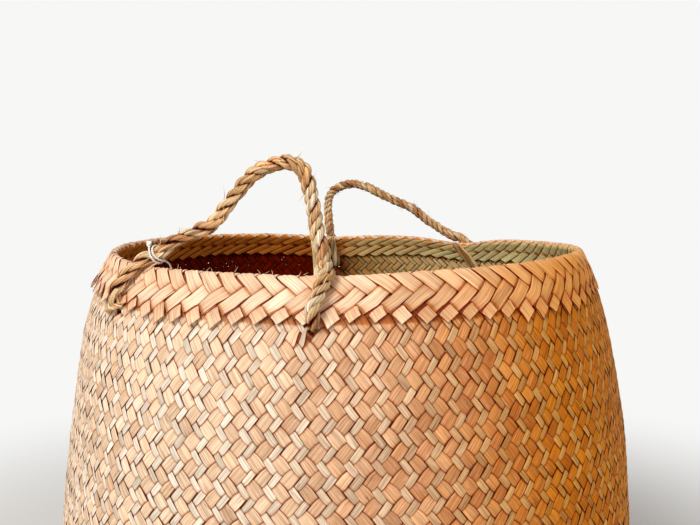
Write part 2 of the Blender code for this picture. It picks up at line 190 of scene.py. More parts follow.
def smooth_curve(points, step):
    """One smooth curve through the points, whatever their spacing, as points about a step apart."""
    points = np.asarray(points, float)
    runs = np.diff(points, axis=0)
    spans = np.linalg.norm(runs, axis=1)[:, None]
    rates = runs / spans
    inner = (rates[:-1] * spans[1:] + rates[1:] * spans[:-1]) / (spans[:-1] + spans[1:])
    slopes = np.vstack([rates[:1], inner, rates[-1:]])
    curve = []
    for a, b, out, into, span in zip(points, points[1:], slopes, slopes[1:], spans[:, 0]):
        count = max(1, round(span / step))
        t = (np.arange(count) / count)[:, None]
        curve.append(
            a * (2 * t**3 - 3 * t**2 + 1)
            + b * (3 * t**2 - 2 * t**3)
            + out * span * (t**3 - 2 * t**2 + t)
            + into * span * (t**3 - t**2)
        )
    return np.vstack([*curve, points[-1:]])


def lengths_along(points):
    """The distance of each point from the first, along the line."""
    return np.concatenate([[0.0], np.cumsum(np.linalg.norm(np.diff(points, axis=0), axis=1))])


def wall_outline():
    """The wall's outer face in the plane of the axis, as (radius, height), from rim to base."""
    places = [
        (BASE_RADIUS + (BELLY_RADIUS - BASE_RADIUS) * out, BELLY_HEIGHT * up)
        for up, out in LOWER_WALL_SHARES
    ]
    places += [
        (BELLY_RADIUS + (RIM_RADIUS - BELLY_RADIUS) * into, BELLY_HEIGHT + (HEIGHT - BELLY_HEIGHT) * up)
        for up, into in UPPER_WALL_SHARES
    ]
    return smooth_curve(places, MERIDIAN_STEP)[::-1]


MERIDIAN = wall_outline()
DEPTHS = lengths_along(MERIDIAN)
FULL_DEPTH = DEPTHS[-1]
DOWNWARD = np.gradient(MERIDIAN, DEPTHS, axis=0)
DOWNWARD /= np.linalg.norm(DOWNWARD, axis=1)[:, None]


def azimuth_of(foot, lean):
    """The azimuth of a place near a foot, by the degrees it lies outside the end of the handle's chord."""
    handle = HANDLES[foot.handle]
    return handle.azimuth + foot.side * (handle.spread + math.radians(lean))


def rim_wave(azimuth):
    """How far the rim stands above or below the basket's height."""
    height = RIM_CROWN * np.sin(azimuth) ** 2
    for foot in FEET.values():
        away = azimuth - azimuth_of(foot, foot.crossing)
        away = (away + math.pi) % FULL_TURN - math.pi
        height = height - RIM_DIP * foot.dip_share * np.exp(-((away / DIP_WIDTH) ** 2))
    return height


def on_wall(azimuth, depth, offset):
    """The points of the basket at azimuths, depths and offsets."""
    azimuth, depth, offset = np.broadcast_arrays(
        np.asarray(azimuth, float), np.asarray(depth, float), np.asarray(offset, float)
    )
    down_r = np.interp(depth, DEPTHS, DOWNWARD[:, 0])
    down_z = np.interp(depth, DEPTHS, DOWNWARD[:, 1])
    past = np.minimum(depth, 0) + np.maximum(depth - FULL_DEPTH, 0)
    radius = np.interp(depth, DEPTHS, MERIDIAN[:, 0]) + down_r * past - down_z * offset
    height = np.interp(depth, DEPTHS, MERIDIAN[:, 1]) + down_z * past + down_r * offset
    fade = np.clip((height - HEIGHT + RIM_WAVE_REACH) / RIM_WAVE_REACH, 0, 1) ** 2
    height = height + fade * rim_wave(azimuth)
    return np.stack([radius * np.sin(azimuth), -radius * np.cos(azimuth), height], axis=-1)


def dents(azimuth, depth):
    """How far the soft wall gives in and out, which fades at the rim and the base."""
    above = np.clip((depth - DENTS_START) / DENTS_FADE, 0, 1)
    below = np.clip((FULL_DEPTH - depth) / DENTS_END_FADE, 0, 1)
    return above * below * sum(
        deep * np.sin(round_wall * azimuth + down_wall * depth + start)
        for deep, round_wall, down_wall, start in DENTS
    )


# The plait's own coordinates: across, one unit a pair of strips round the wall, and down, one unit a period
LOCAL_PITCH = FULL_TURN * MERIDIAN[:, 0] / PAIR_COUNT
SINES = np.minimum(PAIR_WIDTH / LOCAL_PITCH, STEEPEST_SINE)
PERIODS = LOCAL_PITCH * SINES / np.sqrt(1 - SINES**2)
DOWNS = np.concatenate([[0.0], np.cumsum(np.diff(DEPTHS) / ((PERIODS[1:] + PERIODS[:-1]) / 2))])


def twill():
    """One period of a strip: the places of its marks in the period, and its lift at each."""
    places, lifts = np.array(TWILL_SHARES).T
    places = np.concatenate([places, 0.5 - places[:0:-1]])
    lifts = np.concatenate([lifts, -lifts[:0:-1]])
    return np.concatenate([places, places + 0.5]), np.concatenate([lifts, -lifts])


TWILL_PLACES, TWILL_LIFTS = twill()


def depth_of(down):
    """The depth of a place by its periods down from the rim."""
    past = np.minimum(down, 0) * PERIODS[0] + np.maximum(down - DOWNS[-1], 0) * PERIODS[-1]
    return np.interp(down, DOWNS, DEPTHS) + past


def swing(down):
    """How far aside the plait stands at a place down the wall, in pairs: nearly straight to and fro."""
    turn = FULL_TURN * (down - FALLING_MIDDLE - ROW_PHASE)
    return -SWING * (np.sin(turn) - np.sin(3 * turn) / 9 + np.sin(5 * turn) / 25)


def random_walk(strips, count, knots):
    """Smooth random values along strips, about -1 to 1: (strips, count)."""
    values = rng.uniform(-1, 1, (strips, knots + 1))
    place = np.linspace(0, knots, count, endpoint=False)
    index = place.astype(int)
    t = place - index
    t = t * t * (3 - 2 * t)
    return values[:, index] * (1 - t) + values[:, index + 1] * t


def golden_share(azimuth):
    """How far round to the golden side an azimuth lies, from 0 to 1."""
    return 0.5 + 0.5 * np.sin(azimuth - PALE_SIDE_TURN)


def aged(points, inner):
    """How golden the leaf is there, from 0 on the pale side to 1 across from it: partly its ageing, partly
    painted shade.
    """
    azimuth = np.arctan2(points[:, 0], -points[:, 1])
    # Painted highlight: the crest stays pale, more so away from the front
    over_rim = np.clip((points[:, 2] - HEIGHT - rim_wave(azimuth)) / CREST_FADE + 1, 0, 1)
    over_rim = over_rim * (0.5 - 0.5 * np.cos(azimuth)) ** 2
    age = golden_share(azimuth) * (1 - CREST_HIGHLIGHT * over_rim)
    # Inside, the painted shade and light by side even out further down
    return age + (EVEN_SIDE_SHARE - age) * inner * np.clip((HEIGHT - points[:, 2] - EVEN_START) / EVEN_DROP, 0, 1)


Block = collections.namedtuple("Block", "rings tone grain inner")


def closed_mesh(name, blocks, sharp):
    """A mesh of closed tubes. A block's rings are (tubes, rings, sides, 3), with values for their corners."""
    points, corners, sizes = [], [], []
    start = 0
    for rings, *_ in blocks:
        tubes, count, sides = rings.shape[:3]
        index = np.arange(tubes * count * sides).reshape(tubes, count, sides)
        beside = np.roll(index, -1, axis=2)
        quads = np.stack([index[:, :-1], beside[:, :-1], beside[:, 1:], index[:, 1:]], axis=-1).reshape(-1, 4)
        caps = np.concatenate([index[:, 0, ::-1], index[:, -1]])
        flat = rings.reshape(-1, 3)
        a, b, c, d = (flat[quads[:, i]] for i in range(4))
        volume = np.einsum("ij,ij->i", a, np.cross(b, c) + np.cross(c, d)).sum()
        if volume < 0:
            quads, caps = quads[:, ::-1], caps[:, ::-1]
        points.append(flat)
        corners += [quads.ravel() + start, caps.ravel() + start]
        sizes += [np.full(len(quads), 4), np.full(len(caps), sides)]
        start += len(flat)
    points, corners, sizes = (np.concatenate(parts) for parts in (points, corners, sizes))
    mesh = bpy.data.meshes.new(name)
    mesh.vertices.add(len(points))
    mesh.vertices.foreach_set("co", points.astype(np.float32).ravel())
    mesh.loops.add(len(corners))
    mesh.loops.foreach_set("vertex_index", corners.astype(np.int32))
    mesh.polygons.add(len(sizes))
    starts = np.concatenate([[0], np.cumsum(sizes)[:-1]])
    mesh.polygons.foreach_set("loop_start", starts.astype(np.int32))
    mesh.update(calc_edges=True)
    for label, kind, field, width in (
        ("tone", "FLOAT_COLOR", "color", 4),
        ("grain", "FLOAT_VECTOR", "vector", 3),
        ("inner", "FLOAT", "value", 1),
    ):
        values = [np.asarray(getattr(block, label), np.float32).reshape(-1, width) for block in blocks]
        values = np.concatenate(values).ravel()
        mesh.attributes.new(label, kind, "POINT").data.foreach_set(field, values)
    ages = aged(points, values).astype(np.float32)
    mesh.attributes.new("aged", "FLOAT", "POINT").data.foreach_set("value", ages)
    mesh.shade_smooth()
    mesh.set_sharp_from_angle(angle=sharp)
    return mesh


def placed(name, data):
    """A new object in the scene."""
    made = bpy.data.objects.new(name, data)
    bpy.context.scene.collection.objects.link(made)
    return made


def piece(name, blocks, material, body, slot, *nodes, sharp=math.radians(50)):
    """A shown piece of closed tubes on its body, in place of the model's nodes."""
    made = placed(name, closed_mesh(name, blocks, sharp))
    made.data.materials.append(material)
    if body:
        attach(made, body)
    if nodes:
        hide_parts(*nodes)
    return made


# The corners round a strip: share of its half width, side of the leaf and share of the crown
CORNER_SHARES = np.array([-1.0, -0.62, 0.0, 0.62, 1.0, 1.0, 0.0, -1.0])
CORNER_FACES = np.array([1.0, 1.0, 1.0, 1.0, 1.0, -1.0, -1.0, -1.0])
CORNER_CROWNS = np.array([0.0, 0.74, 1.0, 0.74, 0.0, 0.0, 1.0, 0.0])


def strip_rings(widths, drift, heights, tilts, crown):
    """The corners' places across and heights round each ring: two arrays (strips, rings, corners)."""
    across = drift[..., None] + CORNER_SHARES * widths[..., None] / 2
    lift = heights[..., None] + CORNER_FACES * (STRIP_THICKNESS / 2 + crown * CORNER_CROWNS)
    return across, lift + tilts[..., None] * (across - drift[..., None])


def corner_values(*channels):
    """Every corner's values, from channels that spread over the same rings."""
    return np.stack(np.broadcast_arrays(*channels), axis=-1)


def strip_tone(heights, floats):
    """Each corner's tone: the strip's own colour, how far up it lies (painted as shade where low), the
    stretch's colour and the crown (painted as shade at the edges).
    """
    own = rng.uniform(0, 1, (len(floats), 1, 1))
    return corner_values(own, heights[..., None], floats[..., None], CORNER_CROWNS)


def strip_grain(along, across):
    """Each corner's place in its leaf: along it, across it, and which leaf it is."""
    return corner_values(along[..., None], across, rng.uniform(0, 1000, (len(across), 1, 1)))


def parted(line, own_line, down, sense):
    """How far aside strips move to let the ropes through their holes, in pairs. A line is a place across the
    strips of one way, counted in pairs round the rim: a corner's, and that of its strip's middle."""
    hole_down = np.interp(HOLE_MIDDLE, DEPTHS, DOWNS)
    reach = math.hypot(np.interp(HOLE_MIDDLE, DEPTHS, LOCAL_PITCH), np.interp(HOLE_MIDDLE, DEPTHS, PERIODS))
    near = np.exp(-(((down - hole_down) * reach / PARTED_ALONG) ** 2))
    moved = 0.0
    for foot in FEET.values():
        hole_line = azimuth_of(foot, foot.hole) * PAIR_COUNT / FULL_TURN - sense * hole_down
        hole_line -= swing(hole_down) + TURN_PHASE - sense * ROW_PHASE
        edges = [round(hole_line - edge) + edge for edge in (GAP_LINE_SHARE, -GAP_LINE_SHARE)]
        gap = min(edges, key=lambda edge: abs(edge - hole_line))
        away = (line - gap + PAIR_COUNT / 2) % PAIR_COUNT - PAIR_COUNT / 2
        side = np.sign((own_line - gap + PAIR_COUNT / 2) % PAIR_COUNT - PAIR_COUNT / 2)
        aside = side * foot.parted / PAIR_WIDTH * np.exp(-np.abs(away) * PAIR_WIDTH / PARTED_ACROSS)
        drawn = (hole_line - gap) * np.exp(-(away**2))
        moved = moved + near * (aside + drawn)
    return moved


def shaded(depth, end, fade, tone):
    """How bright the wall is painted below what covers it, as shade: tone down to its end, then up to 1."""
    return tone + (1 - tone) * np.clip((depth - end) / fade, 0, 1)


def wall_strips(name, rising, grey, start, stop, material):
    """The strips of one colour that run one way, with numbers from start to stop."""
    numbers = np.arange(start, stop, 2) + (0 if grey else 1)
    strips = len(numbers)
    sense = -1 if rising else 1
    lean = GAP_LEAN if grey else -GAP_LEAN
    middle = lean + ROW_PHASE + (RISING_MIDDLE if rising else FALLING_MIDDLE)
    periods = int(math.ceil(DOWNS[-1])) + 1
    down = (np.arange(-2, periods)[:, None] + middle + TWILL_PLACES).ravel()
    up = np.tile(TWILL_LIFTS, periods + 2)
    top = np.interp(STRIP_TOP_DEPTH, DEPTHS, DOWNS)
    kept = (down > top) & (down < DOWNS[-1] + UNDER_BASE)
    down = down[kept]
    up = up[kept]
    count = len(down)
    stretch = np.floor((down - middle + 0.25) * 2).astype(int)
    stretch -= stretch.min()
    stretches = stretch.max() + 1
    width = GREY_WIDTH if grey else TAN_WIDTH
    own = rng.normal(0, WIDTH_SPREAD, strips)[:, None]
    widths = width * (1 + np.clip(own, *WIDTH_LIMITS) + WIDTH_WAVE * random_walk(strips, count, WIDTH_KNOTS))
    widths *= 0.95 + 0.06 * np.abs(up)
    drift = STRIP_DRIFT * random_walk(strips, count, DRIFT_KNOTS)
    heights = up * (STRIP_LIFT + LIFT_SPREAD * rng.normal(0, 1, (strips, stretches)))[:, stretch]
    tilts = rng.normal(0, TILT_SPREAD, (strips, stretches))[:, stretch] * np.abs(up)
    across, lift = strip_rings(widths, drift, heights, tilts, STRIP_CROWN)
    aside = across / (2 * PAIR_WIDTH)
    own_line = numbers[:, None, None] / 2
    moved = parted(own_line + 2 * aside, own_line, down[None, :, None], sense)
    pair = own_line + TURN_PHASE + sense * (down[None, :, None] - ROW_PHASE) + aside + moved / 2
    place = down[None, :, None] - sense * (aside + moved / 2)
    pair = pair + swing(place)
    azimuth = pair * FULL_TURN / PAIR_COUNT
    depth = depth_of(place)
    rings = on_wall(azimuth, depth, STRIP_MIDDLE + lift + dents(azimuth, depth))
    pressed = PRESSED_HEIGHT * np.exp(np.minimum(rings[..., 2] / PRESSED_HEIGHT - 1, 0))
    rings[..., 2] = np.maximum(rings[..., 2], pressed)
    floats = rng.uniform(0, 1, (strips, stretches))[:, stretch]
    along = lengths_along(rings[0, :, 2])
    tone = strip_tone(up, floats)
    # How far up each face lies, which the leaf paints as shade where low
    tone[..., 1] = 0.5 + 0.5 * CORNER_FACES * tone[..., 1]
    # Painted shade: the outer face darker under the teeth, the inner face darker and dark-edged under the
    # band
    outside = shaded(depth, UNDER_TEETH, UNDER_TEETH_FADE, UNDER_TEETH_TONE)
    inside = shaded(depth, UNDER_BAND, UNDER_BAND_FADE, 0.0)
    shadow = UNDER_BAND_TONE + (1 - UNDER_BAND_TONE) * inside
    tone[..., 1] *= np.where(CORNER_FACES > 0, outside, shadow)
    tone[..., 3] *= np.where(CORNER_FACES > 0, 1, inside)
    grain = strip_grain(along, across)
    inner = np.broadcast_to(CORNER_FACES < 0, across.shape)
    piece(name, [Block(rings, tone, grain, inner)], material, "basket", "plaited_leaf", "basket_wall")


# Border: strips folded outwards over the rim and plaited in three rows down the outside
BORDER_COUNT = 88
BORDER_ROW = 11.8 * MM
FOLD_SINK = 1.7 * MM
FOLD_RADIUS = 2.45 * MM
FOLD_MIDDLE = -1.3 * MM
FOLD_REACH = FOLD_RADIUS * math.pi / 2
BORDER_LIFT = 0.60 * MM
BORDER_CROWN = 0.40 * MM
BORDER_HALF_SHARE = 0.468
# How much the strips' slant narrows them, how far they drift in pairs, and how unlike their lifts are
BORDER_SLANT_SHARE = 0.64
BORDER_DRIFT = 0.035
BORDER_LIFT_SPREAD = 0.10 * MM
# How far over the fold the rising and the falling strips reach, in turns of the plait, and how unevenly
RISING_END = 2.05
FALLING_END = 2.5
TOOTH_SPREAD = 0.10
BORDER_INSIDE = 22.5 * MM
# How far the teeth stand off for each turn, as a share of it each, and how much less on the golden side
TOOTH_RISE = 4.2 * MM
TOOTH_RISE_SHARES = (0.15, 0.85)
TOOTH_SETTLED_SHARE = 0.75
# How far the rows' depth varies round the rim, and where they are tightest
BORDER_UNEVEN = 0.07
BORDER_TIGHT = math.radians(27)
# How far aside the teeth lean, in pairs for each turn below the second row
TOOTH_LEAN = 0.315
TOOTH_LEAN_START = 1.9
# Inside, a thin line of the falling strips parts the rising ones into two tiers
INSIDE_TIER = 1.62
INSIDE_TIER_WIDTH = 0.13
INSIDE_TIER_DROP = 1.7
INSIDE_SLOPE_SHARE = 0.68
# How finely the border's strips are cut inside and from the fold on, in turns of the plait
INSIDE_STEP = 0.08
OUTSIDE_STEP = 0.035
FOLD_START = -0.55
# How far the border's lower edge lies down on the wall on the golden side, and over what run
SETTLED = 1.2 * MM
SETTLED_RUN = 26 * MM
# Where the teeth come out from under the second row, and how far its painted shadow reaches on them
SHADE_TURN = 2.03
SHADE_REACH = 0.0715
SHADE_FADE = 0.06
# A painted highlight along the crest of the fold: by how much and over how many turns
CREST_LIGHT = 0.45
CREST_LIGHT_REACH = 0.3
# Where the inner face starts, in turns before the crest
INNER_START = 0.16
INNER_FADE = 0.12
# How wide the strips are at their inner ends and at places along them, in turns
BORDER_WIDTH_PLACES = (-0.4, 2.0, 2.25)
BORDER_WIDTH_SHARES = (0.98, 1.0, 1.0, 0.86)
# Turns of the plait passed, and how many rows down from the crest that is
BORDER_ROW_SHARES = (
    (-5.0, -5.0 * INSIDE_SLOPE_SHARE), (0.0, 0.00), (1.0, 1.23), (2.0, 2.32), (2.7, 3.26), (3.0, 3.90),
)
BORDER_WIDTH_KNOTS = 9
BORDER_DRIFT_KNOTS = 7
BORDER_GRAIN_ROW = 18.88 * MM
ROW_ENDS = (0.0, 1.0, 2.0)
ROW_MIDDLES = (0.5, 1.5, 2.8)
ROW_EDGE = 0.055
# A strip's height over the rows, at the marks that border_strips gives
BORDER_LEVELS = (1.0, 0.5, -0.5, -1.0, -0.5, 0.5, 1.0, 0.5, -0.5, -0.8)


def border_run(turns):
    """How far down over the fold the border's strips reach: the run from the crest by the turns passed."""
    passed, rows = np.array(BORDER_ROW_SHARES).T
    return np.interp(turns, passed, rows) * BORDER_ROW


def over_fold(azimuth, run, height):
    """Points of the folded border by the run from the crest of the fold, outwards positive."""
    turn = np.clip(run / FOLD_RADIUS, -math.pi / 2, math.pi / 2)
    straight = np.maximum(np.abs(run) - FOLD_REACH, 0)
    depth = FOLD_SINK + straight - (FOLD_RADIUS + height) * np.cos(turn)
    settled = SETTLED * golden_share(azimuth) * np.clip((run - FOLD_REACH) / SETTLED_RUN, 0, 1)
    offset = FOLD_MIDDLE + (FOLD_RADIUS + height) * np.sin(turn) - settled
    return on_wall(azimuth, depth, offset)


def border_strips(name, rising, material):
    """The border's strips that run one way."""
    numbers = np.arange(BORDER_COUNT)
    strips = len(numbers)
    sense = -1 if rising else 1
    inside_turns = -(BORDER_INSIDE + FOLD_REACH) / (INSIDE_SLOPE_SHARE * BORDER_ROW)
    last = RISING_END if rising else FALLING_END
    inside_steps = np.arange(inside_turns, FOLD_START, INSIDE_STEP)
    steps = np.concatenate([inside_steps, np.arange(FOLD_START, last, OUTSIDE_STEP), [last]])
    share = (steps - inside_turns) / (last - inside_turns)
    ends = last + (0 if rising else TOOTH_SPREAD) * rng.uniform(-1, 1, (strips, 1))
    turns = inside_turns + (ends - inside_turns) * share
    count = len(share)
    # Up where the strip shows: rows 1 and 3 for the falling strips, row 2 and the inside for the rising ones
    marks = [inside_turns]
    for end, middle in zip(ROW_ENDS, ROW_MIDDLES):
        marks += [end - ROW_EDGE, end + ROW_EDGE, middle]
    up = np.interp(turns, marks, np.array(BORDER_LEVELS) * -sense)
    up = up * (1 - INSIDE_TIER_DROP * np.exp(-(((turns + INSIDE_TIER) / INSIDE_TIER_WIDTH) ** 2)))
    stretch = np.searchsorted(ROW_ENDS, turns)
    widths_share = BORDER_HALF_SHARE * (1 + WIDTH_WAVE * random_walk(strips, count, BORDER_WIDTH_KNOTS))
    widths_share *= np.interp(turns, [inside_turns, *BORDER_WIDTH_PLACES], BORDER_WIDTH_SHARES)
    lifts = BORDER_LIFT + BORDER_LIFT_SPREAD * rng.normal(0, 1, (strips, 4))
    heights = up * np.take_along_axis(lifts, stretch, axis=1)
    if not rising:
        golden = golden_share((numbers[:, None] + FALLING_END) * FULL_TURN / BORDER_COUNT)
        rise = TOOTH_RISE * rng.uniform(*TOOTH_RISE_SHARES, (strips, 1)) * (1 - TOOTH_SETTLED_SHARE * golden)
        heights = heights + np.clip(turns - TOOTH_LEAN_START, 0, None) * rise
    tilts = np.take_along_axis(rng.normal(0, TILT_SPREAD, (strips, 4)), stretch, axis=1)
    half = FULL_TURN * RIM_RADIUS / BORDER_COUNT * widths_share * BORDER_SLANT_SHARE
    across, lift = strip_rings(2 * half, np.zeros_like(half), heights, tilts, BORDER_CROWN)
    drift = BORDER_DRIFT * random_walk(strips, count, BORDER_DRIFT_KNOTS)[..., None]
    aside = widths_share[..., None] * CORNER_SHARES / 2 + drift
    pair = numbers[:, None, None] + (0.5 if rising else 0.0) + sense * turns[..., None] + aside
    place = turns[..., None] - sense * aside
    pair = pair - TOOTH_LEAN * np.maximum(place - TOOTH_LEAN_START, 0)
    azimuth = pair * FULL_TURN / BORDER_COUNT
    uneven = 1 - BORDER_UNEVEN * np.cos(5 * (azimuth - BORDER_TIGHT))
    rings = over_fold(azimuth, border_run(place) * uneven, lift)
    floats = np.take_along_axis(rng.uniform(0, 1, (strips, 4)), stretch, axis=1)
    # Painted highlight along the crest of the fold
    over_crest = CREST_LIGHT * np.exp(-((turns / CREST_LIGHT_REACH) ** 2))
    tone = strip_tone(np.clip(0.5 + 0.5 * up + over_crest, 0, 1), floats)
    # Painted shadow of the second row, as dark edges where the teeth come out from under it
    if not rising:
        reach = rng.uniform(0, SHADE_REACH, (strips, 1))
        tone[..., 3] *= np.clip((np.abs(turns - SHADE_TURN) - reach) / SHADE_FADE, 0, 1)[..., None]
    grain = strip_grain(turns * BORDER_GRAIN_ROW, across)
    inner = np.broadcast_to(np.clip(-(turns[..., None] + INNER_START) / INNER_FADE, 0, 1), across.shape)
    piece(name, [Block(rings, tone, grain, inner)], material, "basket", "border_leaf", "rim_border")


# Base: a flat mat plaited straight, inside the wall's lower end
BASE_EDGE = 181.5 * MM
BASE_MIDDLE = 1.35 * MM
BASE_MARGIN = 3 * MM
BASE_RINGS = 220
BASE_WIDTH_WAVE = 0.05
BASE_WIDTH_KNOTS = 20


def base_strips(name, turned, grey, material):
    """The base's strips of one colour that run one way."""
    half_pitch = PAIR_WIDTH / 2
    reach = int(BASE_EDGE / half_pitch)
    numbers = np.array([n for n in range(-reach + 1, reach) if (n % 2 == 0) == grey])
    strips = len(numbers)
    share = np.linspace(-1, 1, BASE_RINGS)
    place = numbers * half_pitch
    half_length = np.sqrt(BASE_EDGE**2 - (np.abs(place) + BASE_MARGIN) ** 2)
    along = share[None, :] * half_length[:, None]
    period = 4 * half_pitch
    phase = (along / period - numbers[:, None] / 4 + (0.125 if turned else 0.375)) % 1.0
    up = np.interp(phase, np.append(TWILL_PLACES, 1.0), np.append(TWILL_LIFTS, 1.0))
    heights = up * STRIP_LIFT
    width = GREY_WIDTH if grey else TAN_WIDTH
    widths = width * (1 + BASE_WIDTH_WAVE * random_walk(strips, BASE_RINGS, BASE_WIDTH_KNOTS))
    across, lift = strip_rings(widths, np.zeros_like(widths), heights, np.zeros_like(widths), STRIP_CROWN)
    x = np.broadcast_to(along[..., None], across.shape)
    y = place[:, None, None] + across
    z = BASE_MIDDLE + lift
    rings = np.stack([y, x, z] if turned else [x, y, z], axis=-1)
    tone = strip_tone(0.5 + 0.5 * up, np.full((strips, BASE_RINGS), 0.5))
    grain = strip_grain(along, across)
    inner = np.broadcast_to(CORNER_FACES > 0, across.shape)
    piece(name, [Block(rings, tone, grain, inner)], material, "basket", "plaited_leaf", "base_mat")


# Ropes: three plies of leaf laid right-handed
PLY_RADIUS = 2.5 * MM
HELIX_RADIUS = 2.82 * MM
PLY_SIDES = 24
# How far the fibres turn back in a ply for each turn of the ply, which lays them along the rope
FIBRE_TURNS = 1.1
# A ply's folds: (how many, how deep as a share of its radius, the run in which they turn)
PLY_FOLDS = ((3, 0.16, 37 * MM), (5, 0.14, -43 * MM), (9, 0.09, 61 * MM))
# How unevenly the plies lie: by how much their turn, their reach and their radius sway, and over what run
TURN_SWAY = 0.20
TURN_SWAY_RUN = 17 * MM
REACH_SWAY = 0.07
REACH_SWAY_RUN = 11 * MM
SWELL = 0.07
SWELL_RUN = 9 * MM
SWELL_SPREAD = 0.05
SWELL_KNOTS = 30
# How a ply's colour wanders along it, and the run of one stretch of it
COLOUR_SPREAD = 0.32
COLOUR_RUN = 16 * MM
# How far out from the rope's middle its leaf is painted as lit, and its painted crease shade ends
LIT_FROM = 1.8 * MM
LIT_FADE = 2.6 * MM
CREASED_TO = 2.5 * MM
CREASED_FADE = 2.3 * MM
FOLD_DARKNESS = 4.2
ROPE_STEP = 0.7 * MM
BLEND_REACH = 10 * MM
# Each half's lay at its foot and at the top of its arch, its plies' own colours, and how far its foot loosens
RopeHalf = collections.namedtuple("RopeHalf", "lays palette loosened")
ROPE_HALVES = {
    "front_left": RopeHalf((46 * MM, 26 * MM), (0.46, 0.20, -0.06), 0.20),
    "front_right": RopeHalf((24 * MM, 24 * MM), (0.34, 0.72, 0.14), 0.08),
    "back_right": RopeHalf((22 * MM, 20 * MM), (0.12, 0.42, -0.08), 0.15),
    "back_left": RopeHalf((17 * MM, 20 * MM), (0.30, 0.50, 0.05), 0.10),
}
LOOSENED_REACH = 30 * MM
# Where the rope comes out of its hole it is drawn in, to what share and over what run
DRAWN_SHARE = 0.62
DRAWN_REACH = 14 * MM
# Loose fibres that stand off the ropes
FRAY_COUNT = 34
FRAY_PLACES = (0.05, 0.97)
FRAY_ROOT = 4.3 * MM
FRAY_RADIUS = 0.3 * MM
FRAY_LENGTHS = (3.5 * MM, 9.0 * MM)


def arch_places(handle):
    """The places of a handle's free arch, from its first joint to its last."""
    reach = RIM_RADIUS + HANDLE_STANDOFF
    half_chord = reach * math.sin(handle.spread)
    chord_offset = reach * math.cos(handle.spread)
    turn = np.array([math.cos(handle.azimuth), math.sin(handle.azimuth)])
    places = []
    for along, up in handle.arch:
        x, y = along * half_chord, -chord_offset
        places.append((x * turn[0] - y * turn[1], x * turn[1] + y * turn[0], HEIGHT + up * handle.rise))
    return np.array(places)


def unit(vector):
    return vector / np.linalg.norm(vector)


def hole_of(foot, depth=HOLE_DEPTH):
    """The middle of a rope's hole in the wall, and the way out of the basket there."""
    azimuth = azimuth_of(foot, foot.hole)
    centre = on_wall(azimuth, depth, -WALL_THICKNESS / 2)
    outward = on_wall(azimuth, depth, ROPE_RADIUS) - on_wall(azimuth, depth, -ROPE_RADIUS)
    return centre, unit(outward)


def leg_places(foot, joint):
    """The places of a leg: from the joint over the rim, down the border's outside, and into the hole."""
    crossing = azimuth_of(foot, foot.crossing)
    top = on_wall(crossing, 0.0, 0.0)
    outward = unit(on_wall(crossing, 0.0, ROPE_SIDE) - top)
    upward = unit(on_wall(crossing, -ROPE_SIDE, 0.0) - top)
    away = joint - top
    middle = ROPE_SIDE - CREST_RADIUS
    turn = math.atan2(away @ upward + CREST_DEPTH, away @ outward - middle)
    start = max(turn - CREST_LEAD, CREST_LEAD)
    towards = math.remainder(math.atan2(joint[0], -joint[1]) - crossing, FULL_TURN)
    places = [
        (
            crossing + towards * CREST_SWEEP_SHARE * share,
            CREST_DEPTH - CREST_RADIUS * math.sin(start * share),
            middle + CREST_RADIUS * math.cos(start * share),
        )
        for share in CREST_PLACE_SHARES
    ]
    sweep = azimuth_of(foot, foot.hole) - crossing
    bend_start = ROPE_END_DEPTH - ROPE_SIDE
    for share in LEG_DROP_SHARES:
        places.append((crossing + sweep * share, bend_start * share, ROPE_SIDE))
    for turn in LEG_BEND_TURNS:
        lean_share = 1 - (1 - LEG_DROP_SHARES[-1]) * (1 - math.sin(turn))
        depth = bend_start + ROPE_SIDE * math.sin(turn)
        places.append((crossing + sweep * lean_share, depth, ROPE_SIDE * math.cos(turn)))
    centre, outward = hole_of(foot, ROPE_END_DEPTH)
    points = [on_wall(*place) for place in places]
    points.append(centre + outward * WALL_THICKNESS / 2)
    points.append(centre - outward * (WALL_THICKNESS / 2 + STUB_LENGTH))
    return np.array(points)


def carried_frames(curve):
    """Two directions square to a curve at each point, carried along it without turning about it."""
    tangents = np.gradient(curve, axis=0)
    tangents /= np.linalg.norm(tangents, axis=1)[:, None]
    side = np.cross(tangents[0], [0.3, 0.5, 1.0])
    sides = []
    for tangent in tangents:
        side = side - tangent * (side @ tangent)
        side = side / np.linalg.norm(side)
        sides.append(side)
    sides = np.array(sides)
    return sides, np.cross(tangents, sides)


def beside(curve, turn, reach):
    """The line at a reach from a curve, turned round it."""
    first, second = carried_frames(curve)
    return curve + first * (np.cos(turn) * reach)[:, None] + second * (np.sin(turn) * reach)[:, None]


def swept(curve, radii, sides, twist=0.0):
    """Rings round a curve, (points, sides, 3), by radii as (points, sides), with a twist at each point."""
    first, second = carried_frames(curve)
    angle = np.arange(sides) * FULL_TURN / sides + np.broadcast_to(twist, len(curve))[:, None]
    return curve[:, None] + radii[..., None] * (
        first[:, None] * np.cos(angle)[..., None] + second[:, None] * np.sin(angle)[..., None]
    )


def wrinkled(run, laid, orders):
    """A ply's folds as shares of its radius, (points, sides)."""
    folds = np.zeros(laid.shape)
    for count, depth, pace in orders:
        turn = count * laid / 2 + run[:, None] / pace + rng.uniform(0, FULL_TURN)
        folds -= depth * (1 - np.abs(np.sin(turn))) ** 2
    return folds


